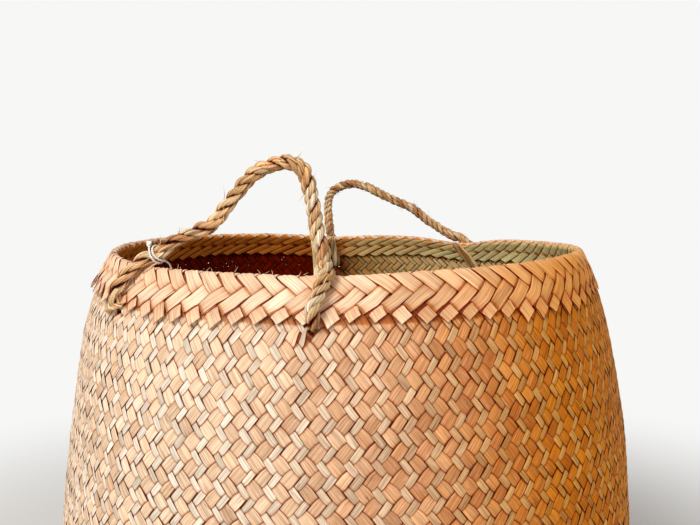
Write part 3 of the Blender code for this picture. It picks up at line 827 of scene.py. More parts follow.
def ply_block(curve, lay, start_turn, spread, own):
    """One ply laid round a curve."""
    run = lengths_along(curve)
    laid_turns = np.cumsum(np.diff(run) * (1 / lay[1:] + 1 / lay[:-1]) / 2)
    turn = start_turn + FULL_TURN * np.concatenate([[0], laid_turns])
    turn = turn + TURN_SWAY * np.sin(run / TURN_SWAY_RUN + start_turn * 2.3)
    drawn = np.clip(DRAWN_SHARE + (1 - DRAWN_SHARE) * run / DRAWN_REACH, 0, 1)
    reach = HELIX_RADIUS * spread * (1 + REACH_SWAY * np.sin(run / REACH_SWAY_RUN + start_turn * 5)) * drawn
    middle = beside(curve, turn, reach)
    angle = np.arange(PLY_SIDES) * FULL_TURN / PLY_SIDES
    laid = angle + FIBRE_TURNS * (turn - turn[0])[:, None]
    folds = wrinkled(run, laid, PLY_FOLDS)
    swell = 1 + SWELL * np.sin(run / SWELL_RUN + start_turn * 3.1)
    swell = swell + SWELL_SPREAD * random_walk(1, len(run), SWELL_KNOTS)[0]
    rings = swept(middle, PLY_RADIUS * (drawn * swell)[:, None] * (1.05 + folds), PLY_SIDES)
    out = np.linalg.norm(rings - curve[:, None], axis=-1)
    knots = max(4, int(run[-1] / COLOUR_RUN))
    colours = np.clip(own + COLOUR_SPREAD * random_walk(1, len(run), knots), 0, 1)[..., None]
    stretches = (0.5 + 0.5 * random_walk(1, len(run), 2 * knots))[..., None]
    # Painted light on the plies' outer side, painted shade in the creases between them and in their folds
    lit = np.clip((out - LIT_FROM) / LIT_FADE, 0, 1)
    creased = np.clip((out - CREASED_TO) / CREASED_FADE, 0, 1) * np.clip(1 + FOLD_DARKNESS * folds, 0, 1)
    tone = corner_values(colours, lit, stretches, creased)
    across = np.abs(laid % FULL_TURN - math.pi) * PLY_RADIUS
    grain = corner_values(run[:, None], across, rng.uniform(0, 1000, (1, 1, 1)))
    return Block(rings[None], tone, grain, np.zeros(out.shape))


def strand_block(curves, radii, own, sides=8, flat=1.0, twists=0.0):
    """Strands along curves of as many points each, as wide as their radii and flat times as thick."""
    angle = np.arange(sides) * FULL_TURN / sides
    section = 1 / np.sqrt(np.cos(angle) ** 2 + (np.sin(angle) / flat) ** 2)
    count = len(curves[0])
    twists = np.broadcast_to(twists, len(curves))
    rings = np.array([
        swept(curve, radius[:, None] * section, sides, twist * np.linspace(0, 1, count))
        for curve, radius, twist in zip(curves, radii, twists)
    ])
    whole = np.ones(rings.shape[:3])
    tone = corner_values(np.asarray(own)[:, None, None], whole, 0.5, whole)
    run = np.array([lengths_along(curve) for curve in curves])[..., None]
    across = np.abs(angle - math.pi) * np.asarray(radii)[..., None]
    grain = corner_values(run, across, rng.uniform(0, 1000, (len(curves), 1, 1)))
    return Block(rings, tone, grain, 0 * whole)


def fray_block(curve):
    """Loose fibres that stand off a rope here and there."""
    first, second = carried_frames(curve)
    strands, radii = [], []
    bend = np.linspace(0, 1, 7)[:, None]
    for place in rng.uniform(*FRAY_PLACES, FRAY_COUNT):
        at = min(int(place * len(curve)), len(curve) - 12)
        turn = rng.uniform(0, FULL_TURN)
        out = first[at] * math.cos(turn) + second[at] * math.sin(turn)
        forward = unit(curve[at + 8] - curve[at])
        aside = np.cross(out, forward)
        along = forward * rng.choice([-1, 1])
        length = rng.uniform(*FRAY_LENGTHS)
        strands.append(
            curve[at]
            + out * FRAY_ROOT
            + length * bend * (0.8 * along + 0.25 * out)
            + length * bend**2 * (rng.uniform(0.1, 0.6) * out + rng.uniform(-0.4, 0.4) * aside)
        )
        radii.append(FRAY_RADIUS * rng.uniform(0.7, 1.5) * (1 - 0.8 * bend[:, 0] ** 1.5))
    return strand_block(strands, radii, rng.uniform(0.4, 1.0, len(strands)), sides=5, flat=0.6)


# The front left rope's wrapped end, beside its hole: (degrees past the hole, depth, offset) along it
WRAPPED_END = np.array(
    ((1.6, 32.0, 2.0), (0.6, 34.5, 4.6), (-1.2, 36.8, 5.2), (-2.8, 38.8, 3.6), (-3.4, 39.6, 0.4))
) * (1, MM, MM)
WRAPPED_STRANDS = 4
WRAPPED_RADIUS = 1.25 * MM
WRAPPED_SPREAD = 1.5 * MM
WRAPPED_LAY = 13 * MM
WRAPPED_COLOURS = (0.40, 0.80)


def stub_block():
    """The pale strands that wrap the end of the front left rope."""
    foot = FEET["front_left"]
    places = [
        on_wall(azimuth_of(foot, foot.hole - lean), depth, offset) for lean, depth, offset in WRAPPED_END
    ]
    line = smooth_curve(places, MM)
    laid = lengths_along(line) / WRAPPED_LAY
    strands = [
        beside(line, FULL_TURN * (strand / WRAPPED_STRANDS + laid), WRAPPED_SPREAD)
        for strand in range(WRAPPED_STRANDS)
    ]
    radii = [np.full(len(line), WRAPPED_RADIUS)] * WRAPPED_STRANDS
    return strand_block(strands, radii, rng.uniform(*WRAPPED_COLOURS, WRAPPED_STRANDS), sides=10, flat=0.7)


def rope_half(foot, curve, material):
    """Half of a handle's rope, from its hole to the top of its arch."""
    looks = ROPE_HALVES[foot]
    side = FEET[foot].handle
    run = lengths_along(curve)
    lay = np.interp(run, [0, 0.35 * run[-1], run[-1]], [looks.lays[0], *looks.lays])
    spread = 1 + looks.loosened * np.exp(-((run / LOOSENED_REACH) ** 2))
    blocks = [
        ply_block(curve, lay, ply * FULL_TURN / 3 + 0.4, spread, own)
        for ply, own in enumerate(looks.palette)
    ]
    blocks.append(fray_block(curve))
    if foot == "front_left":
        blocks.append(stub_block())
    nodes = (side + "_handle_rope", foot + "_rope_leg")
    made = piece(foot + "_rope", blocks, material, None, "leaf_rope", *nodes, sharp=math.radians(60))
    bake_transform(made)


def rope_curves(side):
    """The middle line of each half of a handle's rope, from its hole to the top, and where its joint lies."""
    handle = HANDLES[side]
    arch = arch_places(handle)
    feet = {foot.side: name for name, foot in FEET.items() if foot.handle == side}
    first = leg_places(FEET[feet[-1]], arch[0])
    last = leg_places(FEET[feet[1]], arch[-1])
    curve = smooth_curve(np.vstack([first[::-1], arch, last]), ROPE_STEP)
    top = int(np.argmax(curve[:, 2]))
    halves = {feet[-1]: curve[: top + 1], feet[1]: curve[: top - 1 : -1]}
    ends = {feet[-1]: arch[0], feet[1]: arch[-1]}
    return {
        foot: (half, int(np.argmin(np.linalg.norm(half - ends[foot], axis=1))))
        for foot, half in halves.items()
    }


# Tails: each rope's loosened end inside the wall, as the model has it
TAIL_GAP = 0.3 * MM
TAIL_LEAD = 1.4 * MM
TAIL_BEND_RADIUS = 5.0 * MM
TAIL_BEND_TURNS = (math.radians(30), math.radians(60), math.radians(90))
TAIL_RUN_SHARES = (0.35, 0.70, 1.00)
TAIL_RISE = 12 * MM
TAIL_STEP = 1.2 * MM
STRAND_RADIUS = 1.6 * MM
# How far each tail rises above the rim, as a share, its strands, how wide they splay, their thickness and how
# wide they end as shares, and their colours from the darkest to the lightest
Tail = collections.namedtuple("Tail", "rise_share strands splay thick end colours")
TAILS = {
    "front_left": Tail(-0.12, 5, 1.7 * MM, 1.0, 0.75, (0.2, 0.7)),
    "front_right": Tail(1.00, 4, 1.3 * MM, 1.0, 0.75, (0.6, 1.0)),
    "back_right": Tail(0.70, 8, 5.2 * MM, 1.15, 0.35, (-0.8, 1.0)),
    "back_left": Tail(0.55, 8, 3.8 * MM, 1.1, 0.60, (-0.2, 1.1)),
}
STRAND_LAY = 26 * MM
STRAND_WAVE = 0.6 * MM
STRAND_WAVE_RUN = 7 * MM
STRAND_WAVE_START = 4 * MM
STRAND_SWELL_RUN = 5 * MM
STRAND_OPENING = 6 * MM
STRAND_TAPER = 4 * MM
STRAND_SIZES = (0.75, 1.15)
STRAND_TWISTS = (-2.0, 2.0)
# Where the front right tail joins its arch again
TAIL_JOIN = (58.5 * MM, -193.0 * MM, 450 * MM)


def tail_curve(name):
    """The middle line of a tail, from inside its hole up the inner face."""
    foot = FEET[name]
    start = WALL_THICKNESS + STUB_LENGTH + TAIL_GAP
    bend = start + TAIL_LEAD
    away = bend + TAIL_BEND_RADIUS
    hole = azimuth_of(foot, foot.hole)
    sweep = azimuth_of(foot, foot.tail_top) - hole
    centre, outward = hole_of(foot)
    points = [centre - outward * (length - WALL_THICKNESS / 2) for length in (start, bend)]
    for turn in TAIL_BEND_TURNS:
        depth = HOLE_DEPTH - TAIL_BEND_RADIUS * (1 - math.cos(turn))
        points.append(on_wall(hole, depth, -bend - TAIL_BEND_RADIUS * math.sin(turn)))
    run_start = HOLE_DEPTH - TAIL_BEND_RADIUS
    rise = run_start + TAIL_RISE * TAILS[name].rise_share
    for share in TAIL_RUN_SHARES:
        points.append(on_wall(hole + sweep * share, run_start - rise * share, -away))
    if name == "front_right":
        points.append(np.array(TAIL_JOIN))
    return smooth_curve(points, TAIL_STEP)


def rope_tail(name, material):
    """A bundle of loose leaf strands in place of a tail."""
    looks = TAILS[name]
    curve = tail_curve(name)
    run = lengths_along(curve)
    strands, radii = [], []
    for strand in range(looks.strands):
        turn = strand * 2.4 + 0.35 * strand**0.5 + run / STRAND_LAY
        out = looks.splay * (0.35 + 0.65 * math.sqrt((strand + 0.5) / looks.strands))
        wave = STRAND_WAVE * np.sin(run / STRAND_WAVE_RUN + strand * 1.9)
        reach = out * np.interp(run, [0, STRAND_OPENING, run[-1]], [0.6, 1.0, looks.end])
        strands.append(beside(curve, turn, reach + wave * (run > STRAND_WAVE_START)))
        thick = 1 + 0.12 * np.sin(run / STRAND_SWELL_RUN + strand)
        taper = np.clip((run[-1] - run) / STRAND_TAPER, 0.15, 1) ** 0.5
        radii.append(STRAND_RADIUS * looks.thick * rng.uniform(*STRAND_SIZES) * thick * taper)
    own = rng.permutation(np.linspace(*looks.colours, len(strands)))
    turns = rng.uniform(*STRAND_TWISTS, len(strands))
    blocks = [strand_block(strands, radii, own, sides=10, flat=0.5, twists=turns)]
    joined = name == "front_right"
    body = None if joined else "basket"
    made = piece(name + "_rope_strands", blocks, material, body, "loose_leaf", name + "_rope_tail")
    if joined:
        reach = int(BLEND_REACH / ROPE_STEP)
        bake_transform(made)


# Tag string, as the model has it: knotted on the front left leg, wound round it, over the rim and down
STRING_RADIUS = 0.8 * MM
STRING_COIL_RADIUS = ROPE_RADIUS + 0.45 * MM + STRING_RADIUS
STRING_KNOT_GAP = 0.3 * MM
STRING_TIE_DISTANCE = 17 * MM
STRING_TURN_PITCH = 4.4 * MM
STRING_TURNS = 1.39
STRING_TURN_STEPS = 16
STRING_START_TURN = math.radians(70)
STRING_KNOT_LEAD = math.radians(45)
STRING_KNOT_RADIUS = 2.6 * MM
STRING_END_KNOT_RADIUS = 1.9 * MM
LEG_STEP = 5.6 * MM
STRING_STEP = 4.5 * MM
STRING_FINE_STEP = 0.5 * MM
STRING_LAY = 3.6 * MM
STRING_SIDES = 12
STRING_LOBES = 0.14
STRING_ROUTE = np.array((
    (1.0, 4.5, -1.2), (2.0, 7.7, -4.2), (2.5, 8.8, -9.5), (2.7, 9.0, -20.0), (2.5, 8.8, -32.0),
    (2.2, 9.0, -45.0), (2.4, 9.2, -58.0), (2.7, 9.0, -70.0), (2.8, 8.8, -82.0), (2.7, 9.0, -93.0),
)) * MM


def place_along(curve, distance):
    """The place at a distance along a curve from its start."""
    run = lengths_along(curve)
    return np.array([np.interp(distance, run, curve[:, axis]) for axis in range(3)])


def string_turn(leg, angle):
    """A place on the string's turns round a leg, by the angle turned since the knot."""
    distance = STRING_TIE_DISTANCE - STRING_TURN_PITCH * angle / FULL_TURN
    along = unit(place_along(leg, distance + ROPE_RADIUS) - place_along(leg, distance - ROPE_RADIUS))
    front = np.array([0.0, -1.0, 0.0])
    front = unit(front - along * (front @ along))
    up = np.cross(along, front)
    lift = ROPE_RADIUS + STRING_KNOT_GAP + STRING_KNOT_RADIUS - STRING_COIL_RADIUS
    radius = STRING_COIL_RADIUS + lift * max(1 - angle / STRING_KNOT_LEAD, 0.0) ** 2
    turn = STRING_START_TURN - angle
    return place_along(leg, distance) + (front * math.cos(turn) + up * math.sin(turn)) * radius


def string_line():
    """The string's middle line, from its knot to its end."""
    joint = arch_places(HANDLES["front"])[0]
    leg = smooth_curve(np.vstack([joint, leg_places(FEET["front_left"], joint)]), LEG_STEP)
    steps = round(STRING_TURNS * STRING_TURN_STEPS)
    turns = [string_turn(leg, FULL_TURN * i / STRING_TURN_STEPS) for i in range(steps + 1)]
    return np.vstack([turns[:-2], smooth_curve([*turns[-2:], *(turns[-1] + STRING_ROUTE)], STRING_STEP)])


def knot(name, end, before, radius, node, material):
    """A small overhand knot just past one end of the string."""
    turn = np.linspace(0, 0.97 * FULL_TURN, 72)
    loop = np.stack(
        [np.sin(turn) + 2 * np.sin(2 * turn), np.cos(turn) - 2 * np.cos(2 * turn), -np.sin(3 * turn)], axis=-1
    )
    middle = end + unit(end - before) * (radius + STRING_KNOT_GAP)
    curve = middle + loop[:, [0, 2, 1]] * (radius - STRING_RADIUS) / 3
    block = strand_block([curve], [np.full(len(curve), STRING_RADIUS)], [0.5], sides=STRING_SIDES)
    return piece(name, [block], material, "basket", "cotton_string", node)


def tag_string(material):
    """The cotton string with its two knots."""
    line = string_line()
    knots = [
        knot("string_knot", line[0], line[1], STRING_KNOT_RADIUS, "tag_string_knot", material),
        knot("string_end_knot", line[-1], line[-2], STRING_END_KNOT_RADIUS, "tag_string_end_knot", material),
    ]
    curve = smooth_curve(line, STRING_FINE_STEP)
    run = lengths_along(curve)
    lobes = 1 + STRING_LOBES * np.cos(2 * np.arange(STRING_SIDES) * FULL_TURN / STRING_SIDES)
    radii = np.broadcast_to(0.9 * STRING_RADIUS * lobes, (len(curve), STRING_SIDES))
    rings = swept(curve, radii, STRING_SIDES, FULL_TURN * run / STRING_LAY)
    block = strand_block([curve], [np.full(len(curve), 0.92 * STRING_RADIUS)], [0.5], sides=STRING_SIDES)
    block = block._replace(rings=rings[None])
    made = piece("cotton_string", [block], material, "basket", "cotton_string", "tag_string")


# Loose fibres: (azimuth in degrees, length, lean along the rim) of those that stand up from the rim
RIM_FIBRES = np.array((
    (-4.2, 3.2, 0.4), (-3.0, 2.2, -0.8), (2.2, 4.6, 0.2), (7.5, 3.0, -1.0), (8.6, 2.6, 0.9),
    (10.0, 3.4, -0.5), (15.2, 3.0, 0.3), (16.0, 2.4, 1.2), (-12.0, 4.0, -0.6), (44.0, 2.2, 0.6),
)) * (1, MM, 1)
FIBRE_RADIUS = 0.22 * MM
FIBRE_DEPTH = 1.0 * MM
FIBRE_LEAN = 0.8 * MM
# The pale straw beside the string: (azimuth in degrees, depth, offset) along it
STRAW = np.array((
    (-17.3, -4.6, 1.6), (-17.7, -3.1, 2.6), (-18.1, -1.6, 3.2), (-18.5, -0.1, 3.6),
    (-18.9, 1.5, 3.8), (-19.4, 3.1, 3.8), (-19.8, 4.7, 3.5), (-20.2, 6.2, 3.0),
)) * (1, MM, MM)
STRAW_RADIUS = 0.55 * MM


def rim_fibres(material):
    """Fine fibres that stand up from the fold, and one pale straw beside the string."""
    bend = np.linspace(0, 1, 8)
    strands, radii = [], []
    for azimuth, length, lean in RIM_FIBRES:
        turn = math.radians(azimuth) + lean * length * bend**1.4 / RIM_RADIUS
        strands.append(on_wall(turn, -BAND_FACE - length * bend, -FIBRE_DEPTH - FIBRE_LEAN * bend))
        radii.append(FIBRE_RADIUS * (1 - 0.75 * bend))
    straw = [on_wall(math.radians(azimuth), depth, offset) for azimuth, depth, offset in STRAW]
    strands.append(np.array(straw))
    radii.append(np.full(len(bend), STRAW_RADIUS))
    block = strand_block(strands, radii, rng.uniform(0.5, 1, len(strands)), sides=5)
    piece("rim_fibres", [block], material, "basket", "border_leaf")


# Materials. A colour is given as it looks on a screen, 0 to 255, after its place where it stands in a ramp
# Crevice colours, outside and inside: painted shade at the edges of strips and plies and in creases, also
# used for the leaf's own dark splits
CREVICE = (140, 56, 16)
INNER_CREVICE = (104, 58, 26)
# Painted shade where a strip dives under its neighbours, and on the plies' inner side
DIVE = (201, 154, 112)
# Whitish patches: partly the leaf's own bloom, partly a painted sheen on the raised stretches of the lit side
BLOOM_AND_SHEEN = (246, 228, 206)
# The inner face by side: dark red-brown painted shade on one side, painted light with the leaf's own olive on
# the other
INSIDE = ((0.51, 126, 29, 2), (0.60, 200, 150, 82), (0.84, 255, 222, 150))
# Pale and golden ramps: the golden ones are partly the leaf's own colour, partly painted shade away from the
# key lamp. The inside ramps hold painted shade and light as INSIDE does.
LEAVES = {
    "tan_leaf": dict(
        pale=((0.0, 220, 179, 141), (0.4, 232, 197, 163), (0.8, 241, 210, 179), (1.0, 244, 216, 190)),
        golden=((0.0, 194, 101, 4), (0.4, 207, 115, 6), (0.8, 216, 128, 13), (1.0, 219, 136, 24)),
        streak=0.24,
    ),
    "grey_leaf": dict(
        pale=((0.0, 212, 195, 172), (0.4, 226, 212, 192), (0.75, 236, 224, 208), (1.0, 234, 214, 190)),
        golden=((0.0, 190, 119, 36), (0.4, 206, 141, 58), (0.75, 216, 157, 78), (1.0, 210, 140, 50)),
        inside=((0.51, 116, 30, 4), (0.60, 196, 164, 104), (0.84, 252, 228, 172)),
        streak=0.23,
    ),
    "border_leaf": dict(
        pale=((0.0, 236, 190, 150), (0.4, 245, 202, 164), (0.8, 250, 212, 178), (1.0, 251, 219, 190)),
        golden=((0.0, 230, 144, 58), (0.4, 240, 160, 74), (0.8, 246, 173, 90), (1.0, 248, 183, 106)),
        inside=((0.51, 222, 134, 52), (0.60, 250, 216, 142), (0.84, 255, 240, 172)),
        streak=0.22,
        crease=0.21,
        ageing=(0.37, 0.88),
    ),
    "rope_leaf": dict(
        pale=((0.0, 172, 112, 60), (0.35, 218, 172, 118), (0.7, 222, 196, 152), (1.0, 246, 232, 208)),
        golden=((0.0, 160, 102, 50), (0.35, 212, 156, 100), (0.7, 214, 182, 132), (1.0, 244, 222, 186)),
        streak=0.46,
        crease=0.62,
    ),
    "loose_leaf": dict(
        pale=((0.0, 170, 118, 68), (0.4, 214, 184, 136), (0.8, 226, 212, 172), (1.0, 240, 230, 202)),
        golden=((0.0, 150, 96, 46), (0.4, 206, 170, 112), (0.8, 222, 202, 152), (1.0, 240, 224, 184)),
        streak=0.34,
        crease=0.30,
    ),
}
COTTON = ((0.3, 226, 222, 214), (0.65, 252, 250, 246))
# Noise over the leaf: its scales along the fibres, across them and from leaf to leaf, detail and roughness
LEAF_NOISES = {
    "fine": ((70.0, 2900.0, 1.7), 3.0, 0.6),
    "broad": ((26.0, 1100.0, 1.3), 2.0, 0.55),
    "patch": ((60.0, 210.0, 2.9), 2.0, 0.5),
    "bloom_and_sheen_patches": ((95.0, 520.0, 4.3), 3.0, 0.6),
    "crack": ((14.0, 420.0, 3.7), 1.0, 0.5),
    "cracked": ((45.0, 45.0, 5.1), 1.0, 0.5),
}
YARN_NOISE = ((900.0, 2500.0, 1.0), 3.0, 0.6)
# The relief's strength and its depth
LEAF_RELIEF = (0.85, 0.25 * MM)
COTTON_RELIEF = (0.6, 0.12 * MM)


def plug(tree, socket, value):
    """Links a socket to a value that is a socket, or sets it."""
    if isinstance(value, bpy.types.NodeSocket):
        tree.links.new(value, socket)
    else:
        socket.default_value = value


def add(tree, kind, inputs=None, **settings):
    """The outputs of a new node with its settings and inputs."""
    node = tree.nodes.new("ShaderNode" + kind)
    for label, value in settings.items():
        setattr(node, label, value)
    for label, value in (inputs or {}).items():
        plug(tree, node.inputs[label], value)
    return node.outputs


def math_of(tree, operation, *values):
    return add(tree, "Math", dict(enumerate(values)), operation=operation)[0]


def times(tree, *values):
    return math_of(tree, "MULTIPLY", *values)


def plus(tree, *values):
    return math_of(tree, "ADD", *values)


def minus(tree, *values):
    return math_of(tree, "SUBTRACT", *values)


def mixed(tree, factor, a, b, blend="MIX"):
    return add(tree, "Mix", {0: factor, 6: a, 7: b}, data_type="RGBA", blend_type=blend)[2]


def darkened(tree, factor, colour, by):
    """A colour multiplied by another, as far as a factor says."""
    return mixed(tree, factor, colour, mixed(tree, 1.0, colour, by, "MULTIPLY"))


def mapped(tree, value, low, high, to_low=0.0, to_high=1.0):
    """A value brought smoothly from one range to another, and kept in it."""
    inputs = {"Value": value, "From Min": low, "From Max": high, "To Min": to_low, "To Max": to_high}
    return add(tree, "MapRange", inputs, interpolation_type="SMOOTHSTEP")[0]


def noise(tree, place, scales, detail, roughness):
    scaled = add(tree, "VectorMath", {0: place, 1: scales}, operation="MULTIPLY")[0]
    inputs = {"Vector": scaled, "Scale": 1.0, "Detail": detail, "Roughness": roughness}
    return add(tree, "TexNoise", inputs)["Fac"]


def shade(red, green, blue):
    """A colour given as it looks on a screen, as the shader takes it."""
    levels = (red / 255, green / 255, blue / 255)
    return tuple(c / 12.92 if c <= 0.04045 else ((c + 0.055) / 1.055) ** 2.4 for c in levels) + (1.0,)


def ramp(tree, value, stops):
    node = tree.nodes.new("ShaderNodeValToRGB")
    plug(tree, node.inputs[0], value)
    elements = node.color_ramp.elements
    while len(elements) < len(stops):
        elements.new(0.5)
    for element, (place, *colour) in zip(elements, stops):
        element.position = place
        element.color = shade(*colour)
    return node.outputs[0]


def attribute(tree, label):
    return add(tree, "Attribute", attribute_name=label)


def neutral(tree, value):
    """A colour of one value in all three channels."""
    return add(tree, "CombineColor", dict.fromkeys(range(3), value))[0]


def new_material(name, roughness):
    """A material with its nodes and its shader."""
    material = bpy.data.materials.new(name)
    material.use_nodes = True
    shader = material.node_tree.nodes["Principled BSDF"]
    shader.inputs["Roughness"].default_value = roughness
    return material, material.node_tree, shader


def bumped(tree, shader, height, strength, distance):
    """Gives a shader the relief of a height."""
    inputs = {"Height": height, "Strength": strength, "Distance": distance}
    tree.links.new(add(tree, "Bump", inputs)[0], shader.inputs["Normal"])


def leaf_material(name, pale, golden, streak, inside=INSIDE, crease=0.27, ageing=(0.17, 0.80)):
    """Dry leaf: each strip's own colour, pale or golden by its side of the basket, partly its ageing and
    partly painted shade, streaks along its fibres, fine splits, painted sheen, and dark edges and crevices of
    painted shade."""
    material, tree, shader = new_material(name, 0.6)
    tone = attribute(tree, "tone")
    own, up, stretch = add(tree, "SeparateColor", {0: tone["Color"]})
    crown = tone["Alpha"]
    place = attribute(tree, "grain")["Vector"]
    inner = attribute(tree, "inner")["Fac"]
    side = attribute(tree, "aged")["Fac"]
    golden_side = mapped(tree, side, *ageing)
    noises = (noise(tree, place, *looks) for looks in LEAF_NOISES.values())
    fine, broad, patch, bloom_and_sheen_patches, crack, cracked = noises

    choice = plus(tree, times(tree, own, 0.6), times(tree, stretch, 0.4))
    choice = plus(tree, choice, times(tree, minus(tree, patch, 0.5), 0.9))
    # Pale or golden by the side of the basket: partly the leaf's ageing, partly painted shade away from the
    # key lamp
    colour = mixed(tree, golden_side, ramp(tree, choice, pale), ramp(tree, choice, golden))
    # Whitish patches on raised stretches, fewer on the golden side: partly the leaf's own bloom, partly
    # painted sheen
    whitened = times(tree, mapped(tree, bloom_and_sheen_patches, 0.50, 0.72, 0.0, 0.34), mapped(tree, up, 0.6, 1.0))
    whitened = times(tree, whitened, mapped(tree, side, 0.3, 0.9, 1.0, 0.15))
    colour = mixed(tree, whitened, colour, shade(*BLOOM_AND_SHEEN))
    # The inner face by side: painted shade on one side, painted light and its own olive colour on the other
    colour = mixed(tree, inner, colour, ramp(tree, side, inside))

    light = mapped(tree, broad, 0.30, 0.70, 1.0 - streak, 1.0 + streak)
    light = times(tree, light, mapped(tree, fine, 0.25, 0.75, 1.0 - 0.8 * streak, 1.0 + 0.8 * streak))
    light = times(tree, light, mapped(tree, stretch, 0.0, 1.0, 0.91, 1.06))
    colour = mixed(tree, 1.0, colour, neutral(tree, light), "MULTIPLY")
    # Painted shade where the strip lies low, deepest at the lowest
    colour = darkened(tree, mapped(tree, up, 0.50, 0.90, 1.0, 0.0), colour, shade(*DIVE))
    colour = darkened(tree, mapped(tree, up, 0.05, 0.50, 1.0, 0.0), colour, shade(*DIVE))

    slit = mapped(tree, math_of(tree, "ABSOLUTE", minus(tree, crack, 0.5)), 0.004, 0.018, 1.0, 0.0)
    slit = times(tree, slit, mapped(tree, cracked, 0.54, 0.66))
    # Painted shade at the edges and in creases, with the leaf's own dark splits
    dark = math_of(tree, "MAXIMUM", mapped(tree, crown, 0.02, crease, 0.95, 0.0), times(tree, slit, 0.5))
    crevice = mixed(tree, inner, shade(*CREVICE), shade(*INNER_CREVICE))
    colour = darkened(tree, dark, colour, crevice)
    tree.links.new(colour, shader.inputs["Base Color"])

    gloss = times(tree, mapped(tree, side, 0.20, 0.70, 0.24, 0.05), mapped(tree, inner, 0.0, 1.0, 1.0, 0.0))
    tree.links.new(gloss, shader.inputs["Specular IOR Level"])
    height = minus(tree, plus(tree, fine, times(tree, broad, 1.6)), slit)
    bumped(tree, shader, height, *LEAF_RELIEF)
    return material


def cotton_material():
    """White cotton with faint yarn."""
    material, tree, shader = new_material("cotton", 0.9)
    shader.inputs["Specular IOR Level"].default_value = 0.15
    yarn = noise(tree, attribute(tree, "grain")["Vector"], *YARN_NOISE)
    tree.links.new(ramp(tree, yarn, COTTON), shader.inputs["Base Color"])
    bumped(tree, shader, yarn, *COTTON_RELIEF)
    return material


# Stage, lamps and camera
BACKDROP = shade(247, 247, 246)
FLOOR = shade(232, 231, 229)
FLOOR_REACH = 8.0
FLOOR_FADE = (0.42, 1.05)
WORLD_COLOUR = (1.0, 0.98, 0.95, 1.0)
WORLD_STRENGTH = 0.42
LAMP_COLOUR = (1.0, 0.97, 0.93)
LAMP_AIM = (0, 0, 250 * MM)
# Each lamp's azimuth and elevation in degrees, its distance and size in metres, and its power in watts
LAMPS = {"key": (-9, 40, 2.2, 0.9, 33.0), "fill": (85, 25, 2.6, 2.0, 6.0)}
FOCAL_PIXELS = 760
PICTURE_WIDTH = 700
CAMERA_AZIMUTH = math.radians(24.0)
CAMERA_DISTANCE = 710 * MM
CAMERA_HEIGHT = 470 * MM
CAMERA_DOWN = math.radians(5.75)
CAMERA_ASIDE = math.radians(0.26)


def seen_ray(tree):
    """1 on rays from the camera, and on what glossy or clear surfaces show of the scene."""
    path = add(tree, "LightPath")
    seen = math_of(tree, "MAXIMUM", path["Is Camera Ray"], path["Is Glossy Ray"])
    return math_of(tree, "MAXIMUM", seen, path["Is Transmission Ray"])


def shader_mix(tree, factor, first, second, target):
    """Links a mix of two shaders to a target."""
    tree.links.new(add(tree, "MixShader", {0: factor, 1: first, 2: second})[0], target)


def world_light():
    """An even pale light, and the backdrop as the camera sees it."""
    world = bpy.data.worlds.new("studio")
    bpy.context.scene.world = world
    world.use_nodes = True
    tree = world.node_tree
    background = tree.nodes["Background"]
    background.inputs["Color"].default_value = WORLD_COLOUR
    background.inputs["Strength"].default_value = WORLD_STRENGTH
    shown = add(tree, "Background", {"Color": BACKDROP})[0]
    surface = tree.nodes["World Output"].inputs["Surface"]
    shader_mix(tree, seen_ray(tree), background.outputs[0], shown, surface)


def floor():
    """A plain pale floor that fades into the backdrop."""
    mesh = bpy.data.meshes.new("floor")
    corners = [(x * FLOOR_REACH, y * FLOOR_REACH, 0) for x, y in ((-1, -1), (1, -1), (1, 1), (-1, 1))]
    mesh.from_pydata(corners, [], [(0, 1, 2, 3)])
    made = placed("floor", mesh)
    material, tree, shader = new_material("floor", 0.9)
    shader.inputs["Base Color"].default_value = FLOOR
    position = add(tree, "NewGeometry")["Position"]
    far = add(tree, "VectorMath", {0: position}, operation="LENGTH")["Value"]
    fade = times(tree, mapped(tree, far, *FLOOR_FADE), seen_ray(tree))
    glow = add(tree, "Emission", {"Color": BACKDROP})[0]
    shader_mix(tree, fade, shader.outputs[0], glow, tree.nodes["Material Output"].inputs["Surface"])
    mesh.materials.append(material)


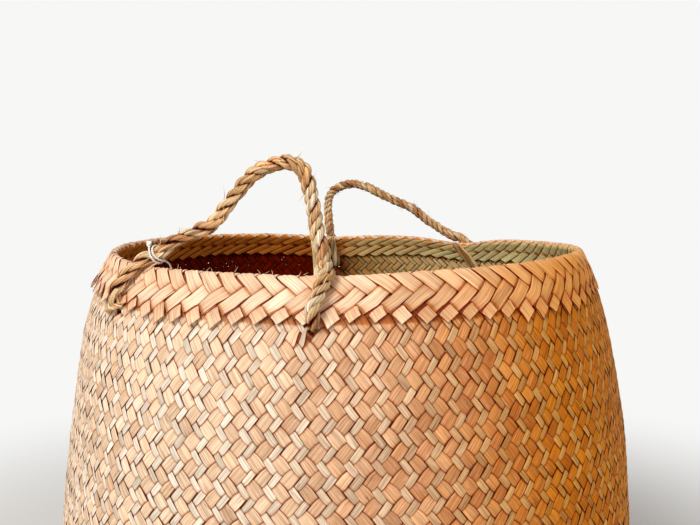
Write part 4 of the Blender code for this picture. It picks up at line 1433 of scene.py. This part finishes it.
def lamp(name, azimuth, elevation, distance, size, power):
    """A broad soft lamp that shines on the basket."""
    lit = bpy.data.lights.new(name, "AREA")
    lit.shape = "DISK"
    lit.size = size
    lit.energy = power
    lit.color = LAMP_COLOUR
    made = placed(name, lit)
    a, e = math.radians(azimuth), math.radians(elevation)
    away = np.array([math.sin(a) * math.cos(e), -math.cos(a) * math.cos(e), math.sin(e)])
    made.location = away * distance + np.array(LAMP_AIM)
    made.rotation_euler = (math.pi / 2 - e, 0.0, a)


def photograph_camera():
    """The camera where the photograph was taken from."""
    lens = bpy.data.cameras.new("camera")
    lens.sensor_fit = "HORIZONTAL"
    lens.lens = lens.sensor_width * FOCAL_PIXELS / PICTURE_WIDTH
    camera = placed("camera", lens)
    reach = (CAMERA_DISTANCE * math.sin(CAMERA_AZIMUTH), -CAMERA_DISTANCE * math.cos(CAMERA_AZIMUTH))
    camera.location = (*reach, CAMERA_HEIGHT)
    camera.rotation_euler = (math.pi / 2 - CAMERA_DOWN, 0, CAMERA_AZIMUTH - CAMERA_ASIDE)
    bpy.context.scene.camera = camera


bpy.context.scene.view_settings.view_transform = "Standard"
photograph_camera()
world_light()
floor()
for name, place in LAMPS.items():
    lamp(name, *place)

leaves = {name: leaf_material(name, **looks) for name, looks in LEAVES.items()}
for way in ("falling", "rising"):
    rising = way == "rising"
    for colour in ("tan", "grey"):
        leaf = leaves[colour + "_leaf"]
        span = 2 * PAIR_COUNT // WALL_QUARTERS
        for quarter in range(WALL_QUARTERS):
            name = f"wall_{way}_{colour}_{quarter + 1}"
            wall_strips(name, rising, colour == "grey", quarter * span, (quarter + 1) * span, leaf)
        base_strips(f"base_{way}_{colour}", rising, colour == "grey", leaf)
    border_strips(f"border_{way}", rising, leaves["border_leaf"])

ropes = {}
for side in HANDLES:
    ropes |= rope_curves(side)
for foot, (curve, joint) in ropes.items():
    rope_half(foot, curve, leaves["rope_leaf"])
    rope_tail(foot, leaves["loose_leaf"])
tag_string(cotton_material())
rim_fibres(leaves["border_leaf"])
